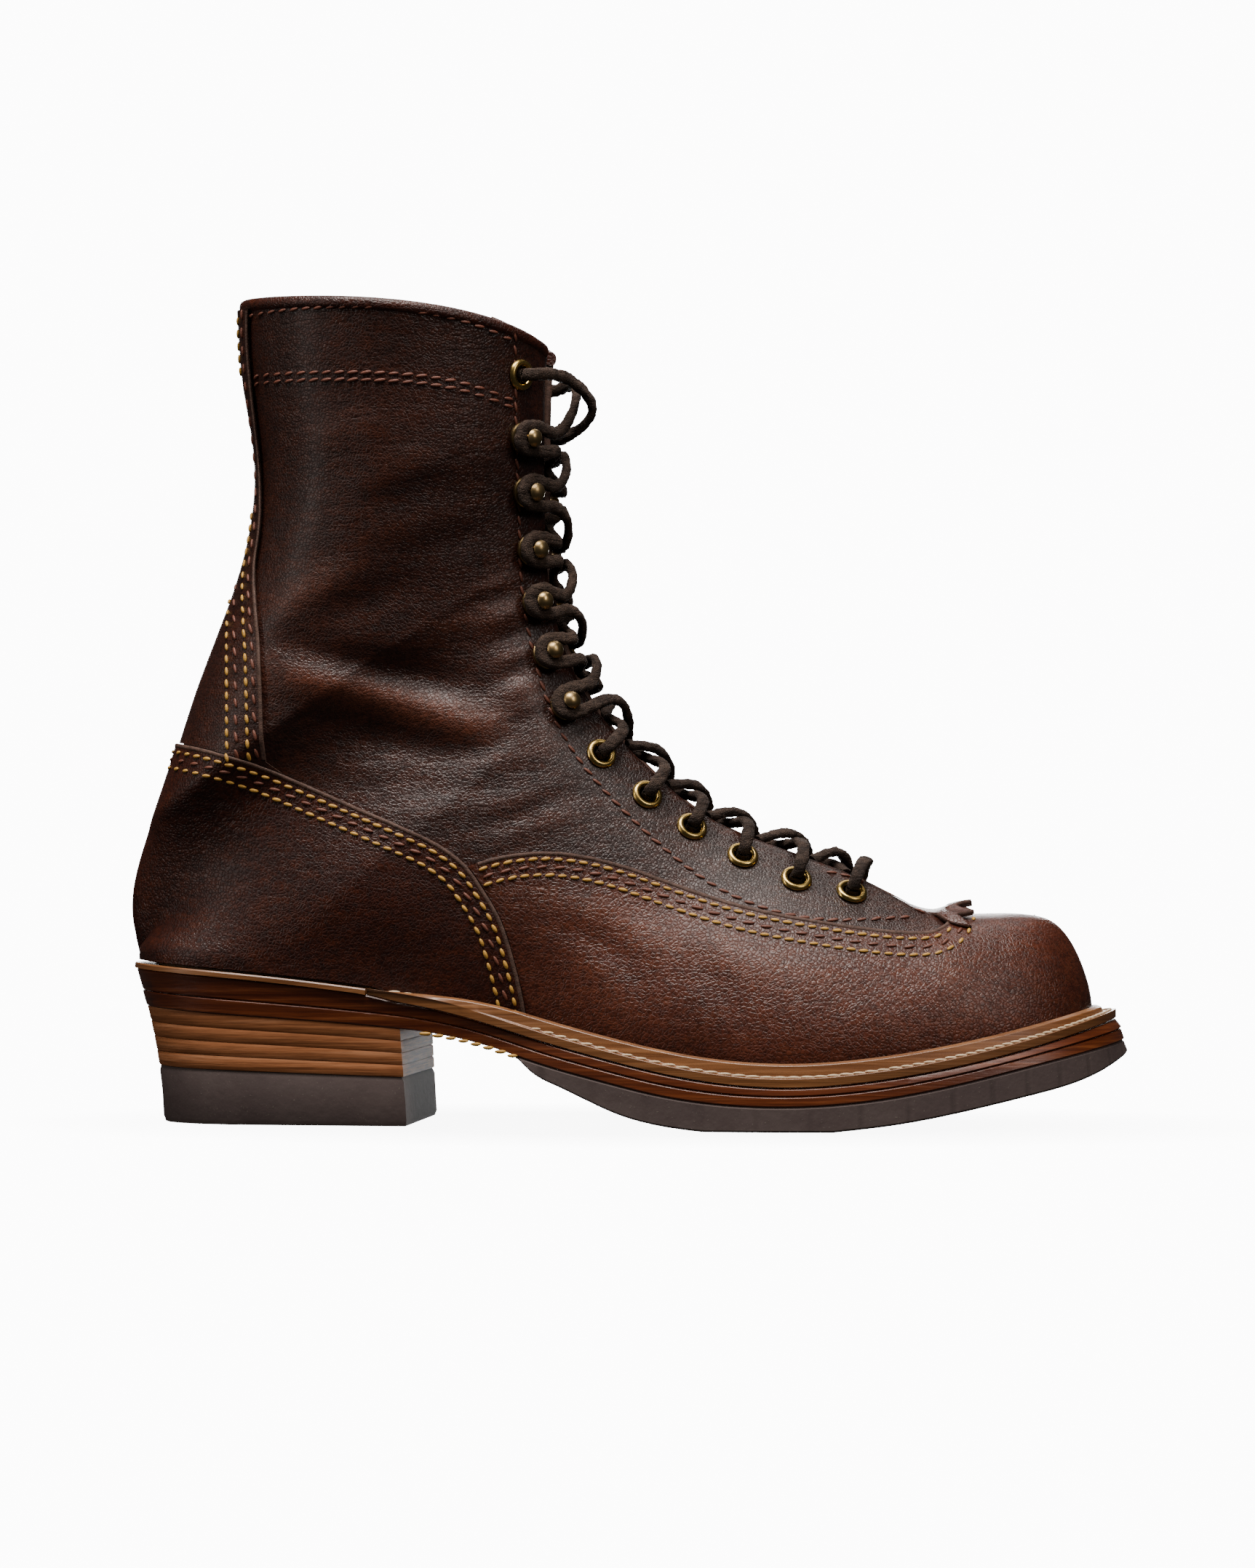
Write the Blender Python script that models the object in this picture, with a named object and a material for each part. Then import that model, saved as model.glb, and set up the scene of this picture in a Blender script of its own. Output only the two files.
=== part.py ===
"""Logger boot for the right foot, eight inches high, laced to the toe.

The frame is metres, +X to the toe, +Y to the inner side of the foot, +Z up. The origin is the centre
of the heel's foot on the floor. The upper is drawn as sections that fan from the toe to the collar.
Each one is a curve from the ridge, which runs over the toe, instep and shaft front, to the base,
which runs round the sole and then up the back of the heel and the shaft.
"""

import math

import bmesh
import bpy
import numpy as np
from mathutils import Matrix, Vector
from mathutils.bvhtree import BVHTree

# Driving dimensions
FOOT_LENGTH = 0.2873
BALL_WIDTH = 0.0874
SEAT_HEIGHT = 0.0487
RIM_HEIGHT = 0.2490
TOE_SWING = 0.0080
HEEL_BASE_LENGTH = 0.0800
HEEL_TUCK_BACK = 0.0093
HEEL_TUCK_SIDE = 0.0042
SEAT_BACK = 0.0056

# Leather and rubber
WALL = 0.0022
VAMP_THICKNESS = 0.0015
COUNTER_THICKNESS = 0.0022
BACKSTAY_THICKNESS = 0.0013
TONGUE_THICKNESS = 0.0016
KILTIE_THICKNESS = 0.0016
INSOLE_THICKNESS = 0.0046
WELT_THICKNESS = 0.0027
RAND_THICKNESS = 0.0015
LIP_HEIGHT = 0.0042
LIP_THICKNESS = 0.0021
HEEL_CAP_BACK = 0.0172
HEEL_CAP_FRONT = 0.0147
HEEL_LIFTS = 4
BINDING_HEIGHT = 0.0030
BINDING_OVERHANG = 0.0006
GAP = 0.0003

# Where one thing ends and the next starts, as x from the origin
HEEL_BREAST = HEEL_BASE_LENGTH / 2
BREAST_LEAN = 0.0032
TOE_FLARE = 0.0034
WELT_END = 0.0285
HALF_SOLE_BACK = 0.0740
COUNTER_FRONT = 0.0760
TREAD_FLAT_BACK = 0.1300
TREAD_FLAT_FRONT = 0.1680
FOOT_BACK = -(HEEL_BASE_LENGTH / 2 + SEAT_BACK)

# Eyelets, hooks and lace
EYELET_FLANGE_R = 0.0048
EYELET_BORE_R = 0.0026
EYELET_BARREL_R = 0.0030
EYELET_FLANGE_H = 0.0010
HOOK_BASE_R = 0.0047
HOOK_BASE_H = 0.0008
HOOK_NECK_R = 0.0013
HOOK_HEAD_R = 0.0028
HOOK_HEAD_LOW = 0.0054
HOOK_HEIGHT = 0.0076
LACE_WIDTH = 0.0038
LACE_THICKNESS = 0.0027
HOOK_LOOP_R = 0.0039
SEATING = 0.0008
SLACK_BULGE = 0.0080

# The foot's print on the sole: share of FOOT_LENGTH from the heel, then the outer and the inner
# half-width from the swing line, as shares of BALL_WIDTH.
FOOTPRINT = [
    # along  outer  inner
    (0.000, 0.000, 0.000),
    (0.030, 0.229, 0.229),
    (0.080, 0.317, 0.317),
    (0.150, 0.343, 0.343),
    (0.250, 0.352, 0.337),
    (0.350, 0.348, 0.300),
    (0.430, 0.362, 0.300),
    (0.520, 0.421, 0.362),
    (0.600, 0.473, 0.423),
    (0.680, 0.498, 0.468),
    (0.760, 0.486, 0.482),
    (0.840, 0.440, 0.462),
    (0.910, 0.366, 0.400),
    (0.960, 0.275, 0.298),
    (0.990, 0.146, 0.154),
    (1.000, 0.000, 0.000),
]

# How far the sole stands out past the print: share of FOOT_LENGTH, then share of BALL_WIDTH.
SOLE_MARGIN = [
    (0.00, 0.042),
    (0.20, 0.046),
    (0.32, 0.062),
    (0.45, 0.092),
    (0.65, 0.112),
    (0.85, 0.112),
    (1.00, 0.108),
]

# Side of the sole: share of FOOT_LENGTH, then heights as shares of SEAT_HEIGHT: the top of the edge
# and the underside of the leather outsole.
SOLE_SIDE = [
    # along  edge   leather
    (-0.014, 1.000, 0.735),
    (0.115, 0.940, 0.680),
    (0.249, 0.852, 0.626),
    (0.328, 0.776, 0.573),
    (0.380, 0.697, 0.507),
    (0.433, 0.602, 0.410),
    (0.504, 0.490, 0.300),
    (0.562, 0.410, 0.222),
    (0.632, 0.343, 0.166),
    (0.703, 0.322, 0.154),
    (0.774, 0.352, 0.183),
    (0.844, 0.415, 0.250),
    (0.949, 0.560, 0.395),
    (1.032, 0.712, 0.512),
]
MID_LINE_SHARE = 0.64

# Underside of the rubber half sole behind and in front of its flat, as shares as above.
TREAD_BACK = [(0.416, 0.428), (0.432, 0.340), (0.456, 0.268), (0.523, 0.098), (0.562, 0.038), (0.611, 0.0)]
TREAD_FRONT = [(0.744, 0.0), (0.809, 0.045), (0.879, 0.123), (0.949, 0.219), (1.021, 0.361), (1.043, 0.437)]

# Sections of the upper, toe to collar. The ridge is a share of FOOT_LENGTH from the heel and of
# RIM_HEIGHT. base runs from 1 at the toe tip to 0 at the heel's back along the print, and from
# 0 to -1 up the back. aim is the way out in degrees from the toe. The other columns are shares of
# BALL_WIDTH, but for set, which is how far down the lower middle lies: how far the curve stands out
# by the ridge, above and below its middle, past the print
# at the base, along the base, how steeply it rises from the base, and the lift of its middle.
SECTIONS = [
    # ridge_x ridge_z base   aim  brow   high   low    set   out    along  rise   lift
    (0.9471, 0.2450, 1.000, 0.0, 0.096, 0.085, 0.085, 0.68, 0.009, 0.000, 0.046, 0.000),
    (0.9349, 0.2474, 0.912, 30.0, 0.138, 0.100, 0.096, 0.68, 0.010, 0.000, 0.051, 0.010),
    (0.9158, 0.2486, 0.833, 58.0, 0.192, 0.130, 0.114, 0.68, 0.011, 0.000, 0.063, 0.025),
    (0.8879, 0.2482, 0.763, 80.0, 0.240, 0.165, 0.137, 0.68, 0.014, 0.000, 0.080, 0.045),
    (0.8549, 0.2530, 0.697, 88.0, 0.255, 0.190, 0.172, 0.68, 0.017, 0.000, 0.103, 0.060),
    (0.8113, 0.2811, 0.634, 90.0, 0.215, 0.190, 0.200, 0.68, 0.023, 0.000, 0.126, 0.055),
    (0.7487, 0.3141, 0.574, 90.0, 0.190, 0.190, 0.225, 0.68, 0.023, 0.000, 0.149, 0.045),
    (0.6791, 0.3446, 0.516, 90.0, 0.180, 0.190, 0.240, 0.68, 0.023, 0.000, 0.172, 0.035),
    (0.6063, 0.3831, 0.458, 90.0, 0.180, 0.195, 0.240, 0.68, 0.023, 0.000, 0.206, 0.025),
    (0.5444, 0.4442, 0.400, 90.0, 0.185, 0.235, 0.292, 0.68, 0.017, 0.000, 0.252, 0.015),
    (0.4929, 0.5100, 0.333, 90.0, 0.200, 0.322, 0.409, 0.68, 0.012, 0.000, 0.297, 0.005),
    (0.4671, 0.5614, 0.244, 90.0, 0.222, 0.380, 0.462, 0.70, 0.013, 0.000, 0.280, 0.000),
    (0.4553, 0.5984, 0.136, 90.0, 0.236, 0.395, 0.478, 0.75, 0.006, 0.080, 0.220, 0.000),
    (0.4480, 0.6265, 0.000, 90.0, 0.242, 0.392, 0.484, 0.80, 0.000, 0.310, 0.230, 0.000),
    (0.4438, 0.6554, -0.066, 90.0, 0.244, 0.394, 0.480, 0.80, 0.000, 0.330, 0.100, 0.000),
    (0.4396, 0.6948, -0.176, 90.0, 0.248, 0.402, 0.476, 0.78, 0.000, 0.335, 0.035, 0.000),
    (0.4372, 0.7390, -0.296, 90.0, 0.250, 0.424, 0.490, 0.74, 0.000, 0.315, 0.000, 0.000),
    (0.4358, 0.7871, -0.441, 90.0, 0.252, 0.460, 0.508, 0.71, 0.000, 0.286, 0.000, 0.000),
    (0.4354, 0.8313, -0.596, 90.0, 0.252, 0.515, 0.538, 0.68, 0.000, 0.280, 0.000, 0.000),
    (0.4354, 0.8715, -0.755, 90.0, 0.263, 0.538, 0.572, 0.68, 0.000, 0.297, 0.000, 0.020),
    (0.4365, 0.9045, -0.900, 90.0, 0.275, 0.572, 0.606, 0.68, 0.000, 0.309, -0.008, 0.075),
    (0.4386, 0.9300, -1.000, 90.0, 0.286, 0.606, 0.629, 0.68, 0.000, 0.320, -0.016, 0.125),
]
THROAT_SECTION = 4.0
CORNER_SECTION = 13.0
LAST_SECTION = len(SECTIONS) - 1
# Where the widths of the middle stop being measured from the chord and start from the ridge.
FROM_THE_RIDGE = (8.0, 11.0)

# Back line of the upper: share of the way up it, then x as a share of FOOT_LENGTH from the heel.
BACK_LINE = [
    (0.000, 0.0000), (0.066, -0.0080), (0.176, 0.0063), (0.296, 0.0320), (0.441, 0.0651),
    (0.596, 0.1051), (0.755, 0.1204), (0.900, 0.1069), (1.000, 0.1016),
]

# Half of the throat's width along the sections, as a share of BALL_WIDTH.
THROAT = [
    (4.00, 0.000), (4.30, 0.112), (4.70, 0.142), (5.20, 0.124), (6.00, 0.096), (8.00, 0.090),
    (10.0, 0.088), (13.0, 0.084), (17.0, 0.084), (21.0, 0.092),
]

# Half-width of the tongue along the sections, as a share of BALL_WIDTH, and of the kiltie with its
# height over the upper in metres.
TONGUE_SPREAD = [
    (4.25, 0.140), (5.00, 0.200), (6.50, 0.220), (9.00, 0.240), (12.0, 0.270), (16.0, 0.290), (21.0, 0.300),
]
KILTIE = [
    (5.20, 0.075, -0.0024), (4.70, 0.078, -0.0014), (4.30, 0.092, 0.0008), (4.05, 0.130, 0.0016),
    (3.80, 0.165, 0.0029), (3.50, 0.180, 0.0034),
]
KILTIE_NOTCH = 0.0048

# Seen from the side, x as a share of FOOT_LENGTH from the heel and z as a share of RIM_HEIGHT.
COUNTER_EDGE = [
    (-0.060, 0.468), (0.028, 0.465), (0.120, 0.442), (0.199, 0.406), (0.299, 0.357), (0.337, 0.335),
    (0.361, 0.313), (0.380, 0.283), (0.399, 0.244), (0.413, 0.192), (0.423, 0.135), (0.428, 0.060),
]
VAMP_EDGE = [
    (0.300, 0.285), (0.366, 0.314), (0.404, 0.326), (0.442, 0.330), (0.484, 0.325), (0.522, 0.314),
    (0.559, 0.299), (0.634, 0.270), (0.709, 0.251), (0.784, 0.238), (0.836, 0.235), (0.853, 0.242),
    (0.861, 0.260), (0.862, 0.330),
]
BACKSTAY_EDGE = [
    (0.122, 1.020), (0.120, 0.980), (0.122, 0.900), (0.133, 0.749), (0.129, 0.678), (0.139, 0.590),
    (0.145, 0.482), (0.150, 0.380),
]

# Eyelets up the instep, the hooks above them and the top eyelet, seen from the side, as above.
EYELETS = [(0.757, 0.281), (0.6996, 0.2966), (0.643, 0.325), (0.589, 0.360), (0.542, 0.399), (0.494, 0.449)]
HOOKS = [(0.455, 0.507), (0.435, 0.570), (0.423, 0.634), (0.417, 0.698), (0.413, 0.768), (0.411, 0.833)]
TOP_EYELET = (0.411, 0.909)

# Principled materials: colour, roughness, metallic
FINISHES = {
    "leather": ((0.090, 0.036, 0.022), 0.42, 0.0),
    "lining": ((0.300, 0.170, 0.090), 0.75, 0.0),
    "welt": ((0.300, 0.120, 0.030), 0.50, 0.0),
    "sole_leather": ((0.280, 0.085, 0.022), 0.38, 0.0),
    "heel_leather": ((0.240, 0.095, 0.040), 0.42, 0.0),
    "rubber": ((0.035, 0.027, 0.026), 0.70, 0.0),
    "brass": ((0.560, 0.400, 0.120), 0.30, 1.0),
    "lace": ((0.045, 0.028, 0.022), 0.85, 0.0),
}


def clear_scene():
    for obj in list(bpy.data.objects):
        bpy.data.objects.remove(obj, do_unlink=True)


def finish(name):
    """The material of that name, made once."""
    found = bpy.data.materials.get(name)
    if found:
        return found
    colour, roughness, metallic = FINISHES[name]
    made = bpy.data.materials.new(name)
    made.use_nodes = True
    shader = made.node_tree.nodes["Principled BSDF"]
    shader.inputs["Base Color"].default_value = (*colour, 1.0)
    shader.inputs["Roughness"].default_value = roughness
    shader.inputs["Metallic"].default_value = metallic
    return made


def smooth_line(points):
    """A natural cubic through rows of (place, value, value...), as a function of place."""
    rows = np.array(points, float)
    place, value = rows[:, 0], rows[:, 1:]
    step = np.diff(place)
    count = len(place)
    system = np.eye(count)
    right = np.zeros_like(value)
    for i in range(1, count - 1):
        system[i, i - 1 : i + 2] = step[i - 1], 2 * (step[i - 1] + step[i]), step[i]
        right[i] = 6 * ((value[i + 1] - value[i]) / step[i] - (value[i] - value[i - 1]) / step[i - 1])
    bend = np.linalg.solve(system, right)

    def at(x):
        k = int(np.clip(np.searchsorted(place, x) - 1, 0, count - 2))
        h, before, after = step[k], x - place[k], place[k + 1] - x
        return (
            (bend[k] * after**3 + bend[k + 1] * before**3) / (6 * h)
            + (value[k] / h - bend[k] * h / 6) * after
            + (value[k + 1] / h - bend[k + 1] * h / 6) * before
        )

    return at


def ease(x, start, end):
    """From 0 at start to 1 at end, level at both."""
    share = min(1.0, max(0.0, (x - start) / (end - start)))
    return share * share * (3 - 2 * share)


def round_share(along):
    """Turns a share of a length into an angle, so that a half-width through it ends round."""
    return math.acos(1 - 2 * min(1.0, max(0.0, along)))


print_line = smooth_line([(round_share(a), o, i) for a, o, i in FOOTPRINT])
margin_line = smooth_line(SOLE_MARGIN)
side_line = smooth_line(SOLE_SIDE)
tread_back_line = smooth_line(TREAD_BACK)
tread_front_line = smooth_line(TREAD_FRONT)
section_line = smooth_line([(k, *row) for k, row in enumerate(SECTIONS)])
back_line = smooth_line(BACK_LINE)


def foot_x(along):
    return FOOT_BACK + along * FOOT_LENGTH


def along_foot(x):
    return (x - FOOT_BACK) / FOOT_LENGTH


def swing(x):
    """How far the foot's middle line lies to the inner side."""
    return TOE_SWING * ease(along_foot(x), 0.30, 1.02)


def edge_top(x):
    return SEAT_HEIGHT * side_line(along_foot(x))[0]


def leather_low(x):
    return SEAT_HEIGHT * side_line(along_foot(x))[1]


def mid_line(x):
    """Between the midsole and the leather outsole."""
    return edge_top(x) - MID_LINE_SHARE * (edge_top(x) - leather_low(x))


def strip_thickness(x):
    """The rand under the heel seat, the welt in front of it."""
    return RAND_THICKNESS + (WELT_THICKNESS - RAND_THICKNESS) * ease(x, WELT_END - 0.004, WELT_END + 0.012)


def midsole_top(x):
    return edge_top(x) - strip_thickness(x) - GAP


def upper_base(x):
    """The upper stands on the rand at the heel, and on the midsole inside the welt."""
    return edge_top(x) + 2 * GAP - (WELT_THICKNESS + GAP) * ease(x, WELT_END, WELT_END + 0.016)


def tread_low(x):
    """Underside of the rubber, level between the two ends of its flat."""
    if TREAD_FLAT_BACK <= x <= TREAD_FLAT_FRONT:
        return 0.0
    line = tread_back_line if x < TREAD_FLAT_BACK else tread_front_line
    return max(0.0, SEAT_HEIGHT * line(along_foot(x))[0])


def print_point(turn, side, out=0.0):
    """A point of the foot's print in plan, moved outwards. turn is pi at the toe and 0 at the back."""

    def bare(angle):
        along = (1 - math.cos(angle)) / 2
        half = BALL_WIDTH * print_line(abs(angle))[0 if side < 0 else 1]
        x = foot_x(along)
        return np.array([x, swing(x) + side * half])

    here = bare(turn)
    step = 0.004
    ahead = bare(min(math.pi, turn + step))
    behind = bare(max(0.0, turn - step))
    tangent = ahead - behind
    if turn > math.pi - step / 2:
        tangent = np.array([0.0, -side])
    if turn < step / 2:
        tangent = np.array([0.0, side])
    normal = np.array([-tangent[1], tangent[0]]) * side
    normal /= np.linalg.norm(normal)
    return here + normal * out, normal, tangent / np.linalg.norm(tangent)


def sole_margin(turn):
    return BALL_WIDTH * margin_line((1 - math.cos(turn)) / 2)[0]


def base_point(base, side):
    """The lower end of a section, on the print and then up the back line, with the ways out and along."""
    if base >= 0:
        plan, normal, tangent = print_point(base * math.pi, side)
        place = np.array([plan[0], plan[1], upper_base(plan[0])])
        return place, np.array([*normal, 0.0]), np.array([*tangent, 0.0])
    low = upper_base(foot_x(0.0))
    x = foot_x(back_line(-base)[0])
    place = np.array([x, 0.0, low + (RIM_HEIGHT - low) * -base])
    return place, np.array([-1.0, 0.0, 0.0]), np.array([0.0, side, 0.0])


def section_controls(k, side):
    """The six points that steer the section's curve, ridge to base."""
    ridge_x, ridge_z, base, aim, brow, high, low, set_down, out, along, rise, lift = section_line(k)
    top = np.array([foot_x(ridge_x), swing(foot_x(ridge_x)), RIM_HEIGHT * ridge_z])
    if abs(k - CORNER_SECTION) < 1e-9:
        base = 0.0
    foot, normal, tangent = base_point(base, side)
    tangent[2] = tangent[0] * (top[2] - foot[2]) / max(0.01, top[0] - foot[0])
    aim = math.radians(min(90.0, max(0.0, aim)))
    away = np.array([math.cos(aim), side * math.sin(aim), 0.0])
    up = np.array([0.0, 0.0, 1.0])
    width = BALL_WIDTH
    rim = ease(k, LAST_SECTION - 2.0, LAST_SECTION)
    chord = foot - top
    chord[1] *= 1 - ease(k, *FROM_THE_RIDGE)
    return np.array([
        top,
        top + (away * brow + up * 0.57 * lift * rim) * width,
        top + chord * 0.30 + (away * high + up * lift) * width,
        top + chord * set_down + (away * low + up * lift * (1 - rim)) * width,
        foot + (normal * out + tangent * along + up * rise) * width,
        foot,
    ])


def curve_point(controls, t):
    points = controls
    while len(points) > 1:
        points = points[:-1] + (points[1:] - points[:-1]) * t
    return points[0]


def share_where(controls, reached):
    """The first share of the curve at which reached() holds, found by halving."""
    low, high = 0.0, 1.0
    for _ in range(30):
        middle = (low + high) / 2
        if reached(curve_point(controls, middle)):
            high = middle
        else:
            low = middle
    return high


def throat_half(k):
    if k <= THROAT_SECTION:
        return 0.0
    return BALL_WIDTH * float(np.interp(k, *zip(*THROAT)))


SECTION_ROWS = (
    [0.5 * i for i in range(8)]
    + [THROAT_SECTION, 4.3, 4.7, 5.3, 6.0]
    + [6.8 + 0.8 * i for i in range(6)]
    + [11.5, 12.1, 12.6, CORNER_SECTION, 13.5]
    + [CORNER_SECTION + (LAST_SECTION - CORNER_SECTION) * (i + 1) / 9 for i in range(9)]
)
ACROSS = 8
# Sections between which the skin is evened out round the heel, and how many times.
HEEL_EASING = (11.3, 14.2, 3)


def upper_skin(rows=SECTION_ROWS):
    """The upper's outer skin as one open mesh: two halves that share the toe's ridge and the back."""
    bm = bmesh.new()
    eased = []
    grids = {}
    for side in (-1, 1):
        grid = []
        for i, k in enumerate(rows):
            controls = section_controls(k, side)
            start = share_where(controls, lambda p: abs(p[1] - controls[0][1]) >= throat_half(k))
            line = []
            for j in range(ACROSS + 1):
                joined = side > 0 and (
                    i == 0 or (j == 0 and k <= THROAT_SECTION) or (j == ACROSS and k >= CORNER_SECTION)
                )
                if joined:
                    line.append(grids[-1][i][j])
                    continue
                t = j / ACROSS if k <= THROAT_SECTION else start + (1 - start) * j / ACROSS
                line.append(bm.verts.new(curve_point(controls, t)))
                if HEEL_EASING[0] < k < HEEL_EASING[1] and 1 < j < ACROSS:
                    eased.append(line[-1])
            grid.append(line)
        grids[side] = grid
        for before, after in zip(grid, grid[1:]):
            for j in range(ACROSS):
                corners = [before[j], after[j], after[j + 1], before[j + 1]]
                bm.faces.new(corners if side < 0 else corners[::-1])
    for _ in range(HEEL_EASING[2]):
        bmesh.ops.smooth_vert(bm, verts=eased, factor=0.5, use_axis_x=True, use_axis_y=True, use_axis_z=True)
    bmesh.ops.recalc_face_normals(bm, faces=bm.faces)
    if sum(f.normal.y * f.calc_center_median().y for f in bm.faces) < 0:
        bmesh.ops.reverse_faces(bm, faces=bm.faces)
    bmesh.ops.triangulate(bm, faces=bm.faces, quad_method="SHORT_EDGE")
    bm.normal_update()
    return bm


def push_out(bm, distance):
    """Moves a skin outwards by one distance."""
    moves = [(v, v.normal.copy()) for v in bm.verts]
    for v, normal in moves:
        v.co += normal * distance


def add_object(name, bm, material, smooth=True):
    mesh = bpy.data.meshes.new(name)
    bm.normal_update()
    bm.to_mesh(mesh)
    bm.free()
    if smooth:
        mesh.shade_smooth()
        mesh.set_sharp_from_angle(angle=math.radians(40))
    mesh.materials.append(finish(material))
    obj = bpy.data.objects.new(name, mesh)
    bpy.context.scene.collection.objects.link(obj)
    return obj


def thicken(obj, thickness, outwards):
    wall = obj.modifiers.new("wall", "SOLIDIFY")
    wall.thickness = thickness
    wall.offset = 1.0 if outwards else -1.0
    wall.use_even_offset = True
    wall.use_quality_normals = True


def cut(obj, cutter, operation):
    tool = obj.modifiers.new(operation.lower(), "BOOLEAN")
    tool.operation = operation
    tool.solver = "EXACT"
    tool.object = cutter


def helper(name, bm):
    obj = add_object(name, bm, "leather", smooth=False)
    obj.hide_render = True
    obj.display_type = "WIRE"
    return obj


def side_prism(name, outline):
    """A block that has this outline seen from the side and is wider than the boot."""
    bm = bmesh.new()
    verts = [bm.verts.new((x, -BALL_WIDTH, z)) for x, z in outline]
    face = bm.faces.new(verts)
    made = bmesh.ops.extrude_face_region(bm, geom=[face])
    moved = [g for g in made["geom"] if isinstance(g, bmesh.types.BMVert)]
    bmesh.ops.translate(bm, verts=moved, vec=(0, 2 * BALL_WIDTH, 0))
    bmesh.ops.recalc_face_normals(bm, faces=bm.faces)
    return helper(name, bm)


def side_curve(points, count):
    """Points along a seam seen from the side, in metres."""
    rows = [(i, x, z) for i, (x, z) in enumerate(points)]
    line = smooth_line(rows)
    values = [line(i * (len(points) - 1) / count) for i in range(count + 1)]
    return [(foot_x(x), RIM_HEIGHT * z) for x, z in values]


def loft(bm, rings):
    """Joins rings of points with faces, and closes both ends. Equal points become one."""
    made = []
    for ring in rings:
        line = []
        for p in ring:
            same = next((v for v in line if (v.co - Vector(p)).length < 1e-6), None)
            line.append(same or bm.verts.new(p))
        made.append(line)

    def face(corners):
        kept = list(dict.fromkeys(corners))
        if len(kept) > 2:
            bm.faces.new(kept)

    for a, b in zip(made, made[1:]):
        for j in range(len(a)):
            n = (j + 1) % len(a)
            face([a[j], b[j], b[n], a[n]])
    face(made[0])
    face(made[-1])
    bmesh.ops.recalc_face_normals(bm, faces=bm.faces)


def turns(start, end, count):
    return [start + (end - start) * i / count for i in range(count + 1)]


def turn_at(x):
    return round_share(along_foot(x))


def plate_points(turn, out, low_out, top, low):
    """Four corners of a cross-cut through a sole layer, outer top first."""
    ring = []
    for side, spread, height in ((-1, out, top), (1, out, top), (1, low_out, low), (-1, low_out, low)):
        plan = print_point(turn, side, spread)[0]
        ring.append((plan[0], plan[1], height(plan[0])))
    return ring


def plate(name, material, start, end, count, out, top, low, low_out=None):
    """A sole layer from one turn of the print to another. out gives its reach past the print."""
    low_out = low_out or out
    bm = bmesh.new()
    loft(bm, [plate_points(t, out(t), low_out(t), top, low) for t in turns(start, end, count)])
    return add_object(name, bm, material)


def heel_tuck(turn, z):
    """How far the heel's side has drawn in at a height, most of all at the back."""
    depth = min(1.0, max(0.0, 1 - z / SEAT_HEIGHT))
    back = 1 - ease(turn, 0.0, 0.75)
    most = HEEL_TUCK_SIDE + (HEEL_TUCK_BACK - HEEL_TUCK_SIDE) * back
    return most * (1 - (1 - depth) ** 1.75) * (1 - ease(turn, turn_at(HEEL_BREAST), 1.55))


def side_reach(depth, height):
    """How far a sole layer reaches at a height. depth is 0 at the welt and 1 at the tread."""

    def reach(turn):
        flare = TOE_FLARE * depth * (0.15 + 0.85 * ease(turn, 2.0, math.pi))
        return sole_margin(turn) + flare - heel_tuck(turn, height(foot_x((1 - math.cos(turn)) / 2)))

    return reach


def build_sole():
    def mid_top(x):
        return mid_line(x) + GAP / 2

    def mid_low(x):
        return mid_line(x) - GAP / 2

    plate(
        "midsole", "sole_leather", 0.0, math.pi, 26, side_reach(0.0, midsole_top), midsole_top,
        mid_top, side_reach(0.45, mid_top),
    )
    plate(
        "outsole", "sole_leather", 0.0, math.pi, 26, side_reach(0.45, mid_low), mid_low, leather_low,
        side_reach(0.7, leather_low),
    )
    plate(
        "half_sole", "rubber", turn_at(HALF_SOLE_BACK), math.pi, 26, side_reach(0.7, leather_low),
        lambda x: leather_low(x) - GAP, lambda x: min(tread_low(x), leather_low(x) - 3 * GAP),
        side_reach(1.0, tread_low),
    )
    inset = -(WALL + 5 * GAP)
    plate(
        "insole", "lining", 0.0, math.pi, 20, lambda t: inset,
        lambda x: midsole_top(x) + INSOLE_THICKNESS, lambda x: midsole_top(x) + GAP,
    )


def overlay_thickness(x):
    """What lies on the upper near its base: the counter, then the vamp."""
    return COUNTER_THICKNESS + (VAMP_THICKNESS - COUNTER_THICKNESS) * ease(x, COUNTER_FRONT, COUNTER_FRONT + 0.01)


def welt_ring(k, side):
    """Cross-cut of the welt at one section: a flat flange, and a lip that stands up by the upper."""
    controls = section_controls(k, side)
    foot, normal, _ = base_point(section_line(k)[2], side)
    x = foot[0]
    lip_top = edge_top(x) + LIP_HEIGHT * ease(x, WELT_END - 0.002, WELT_END + 0.05)
    wall = curve_point(controls, share_where(controls, lambda p: p[2] <= lip_top))
    cover = overlay_thickness(x) + 3.5 * GAP
    reach = float(np.dot(wall - foot, normal)) + cover + GAP
    outer = sole_margin(section_line(k)[2] * math.pi)
    lip = max(reach, cover) + LIP_THICKNESS
    profile = [
        (cover, lambda at: midsole_top(at) + 1.5 * GAP),
        (outer, lambda at: midsole_top(at) + 1.5 * GAP),
        (outer, edge_top),
        (lip, lambda at: edge_top(at) + GAP),
        (reach + LIP_THICKNESS * 0.75, lambda at: lip_top - LIP_THICKNESS * 0.3),
        (reach, lambda at: lip_top),
    ]
    places = [(foot + normal * d, height) for d, height in profile]
    return [(p[0], p[1], height(p[0])) for p, height in places]


def section_at_base(x):
    """The section whose base lies at this x on the print."""
    low, high = 0.0, CORNER_SECTION
    for _ in range(30):
        middle = (low + high) / 2
        along = (1 - math.cos(section_line(middle)[2] * math.pi)) / 2
        if foot_x(along) > x:
            low = middle
        else:
            high = middle
    return low


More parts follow.
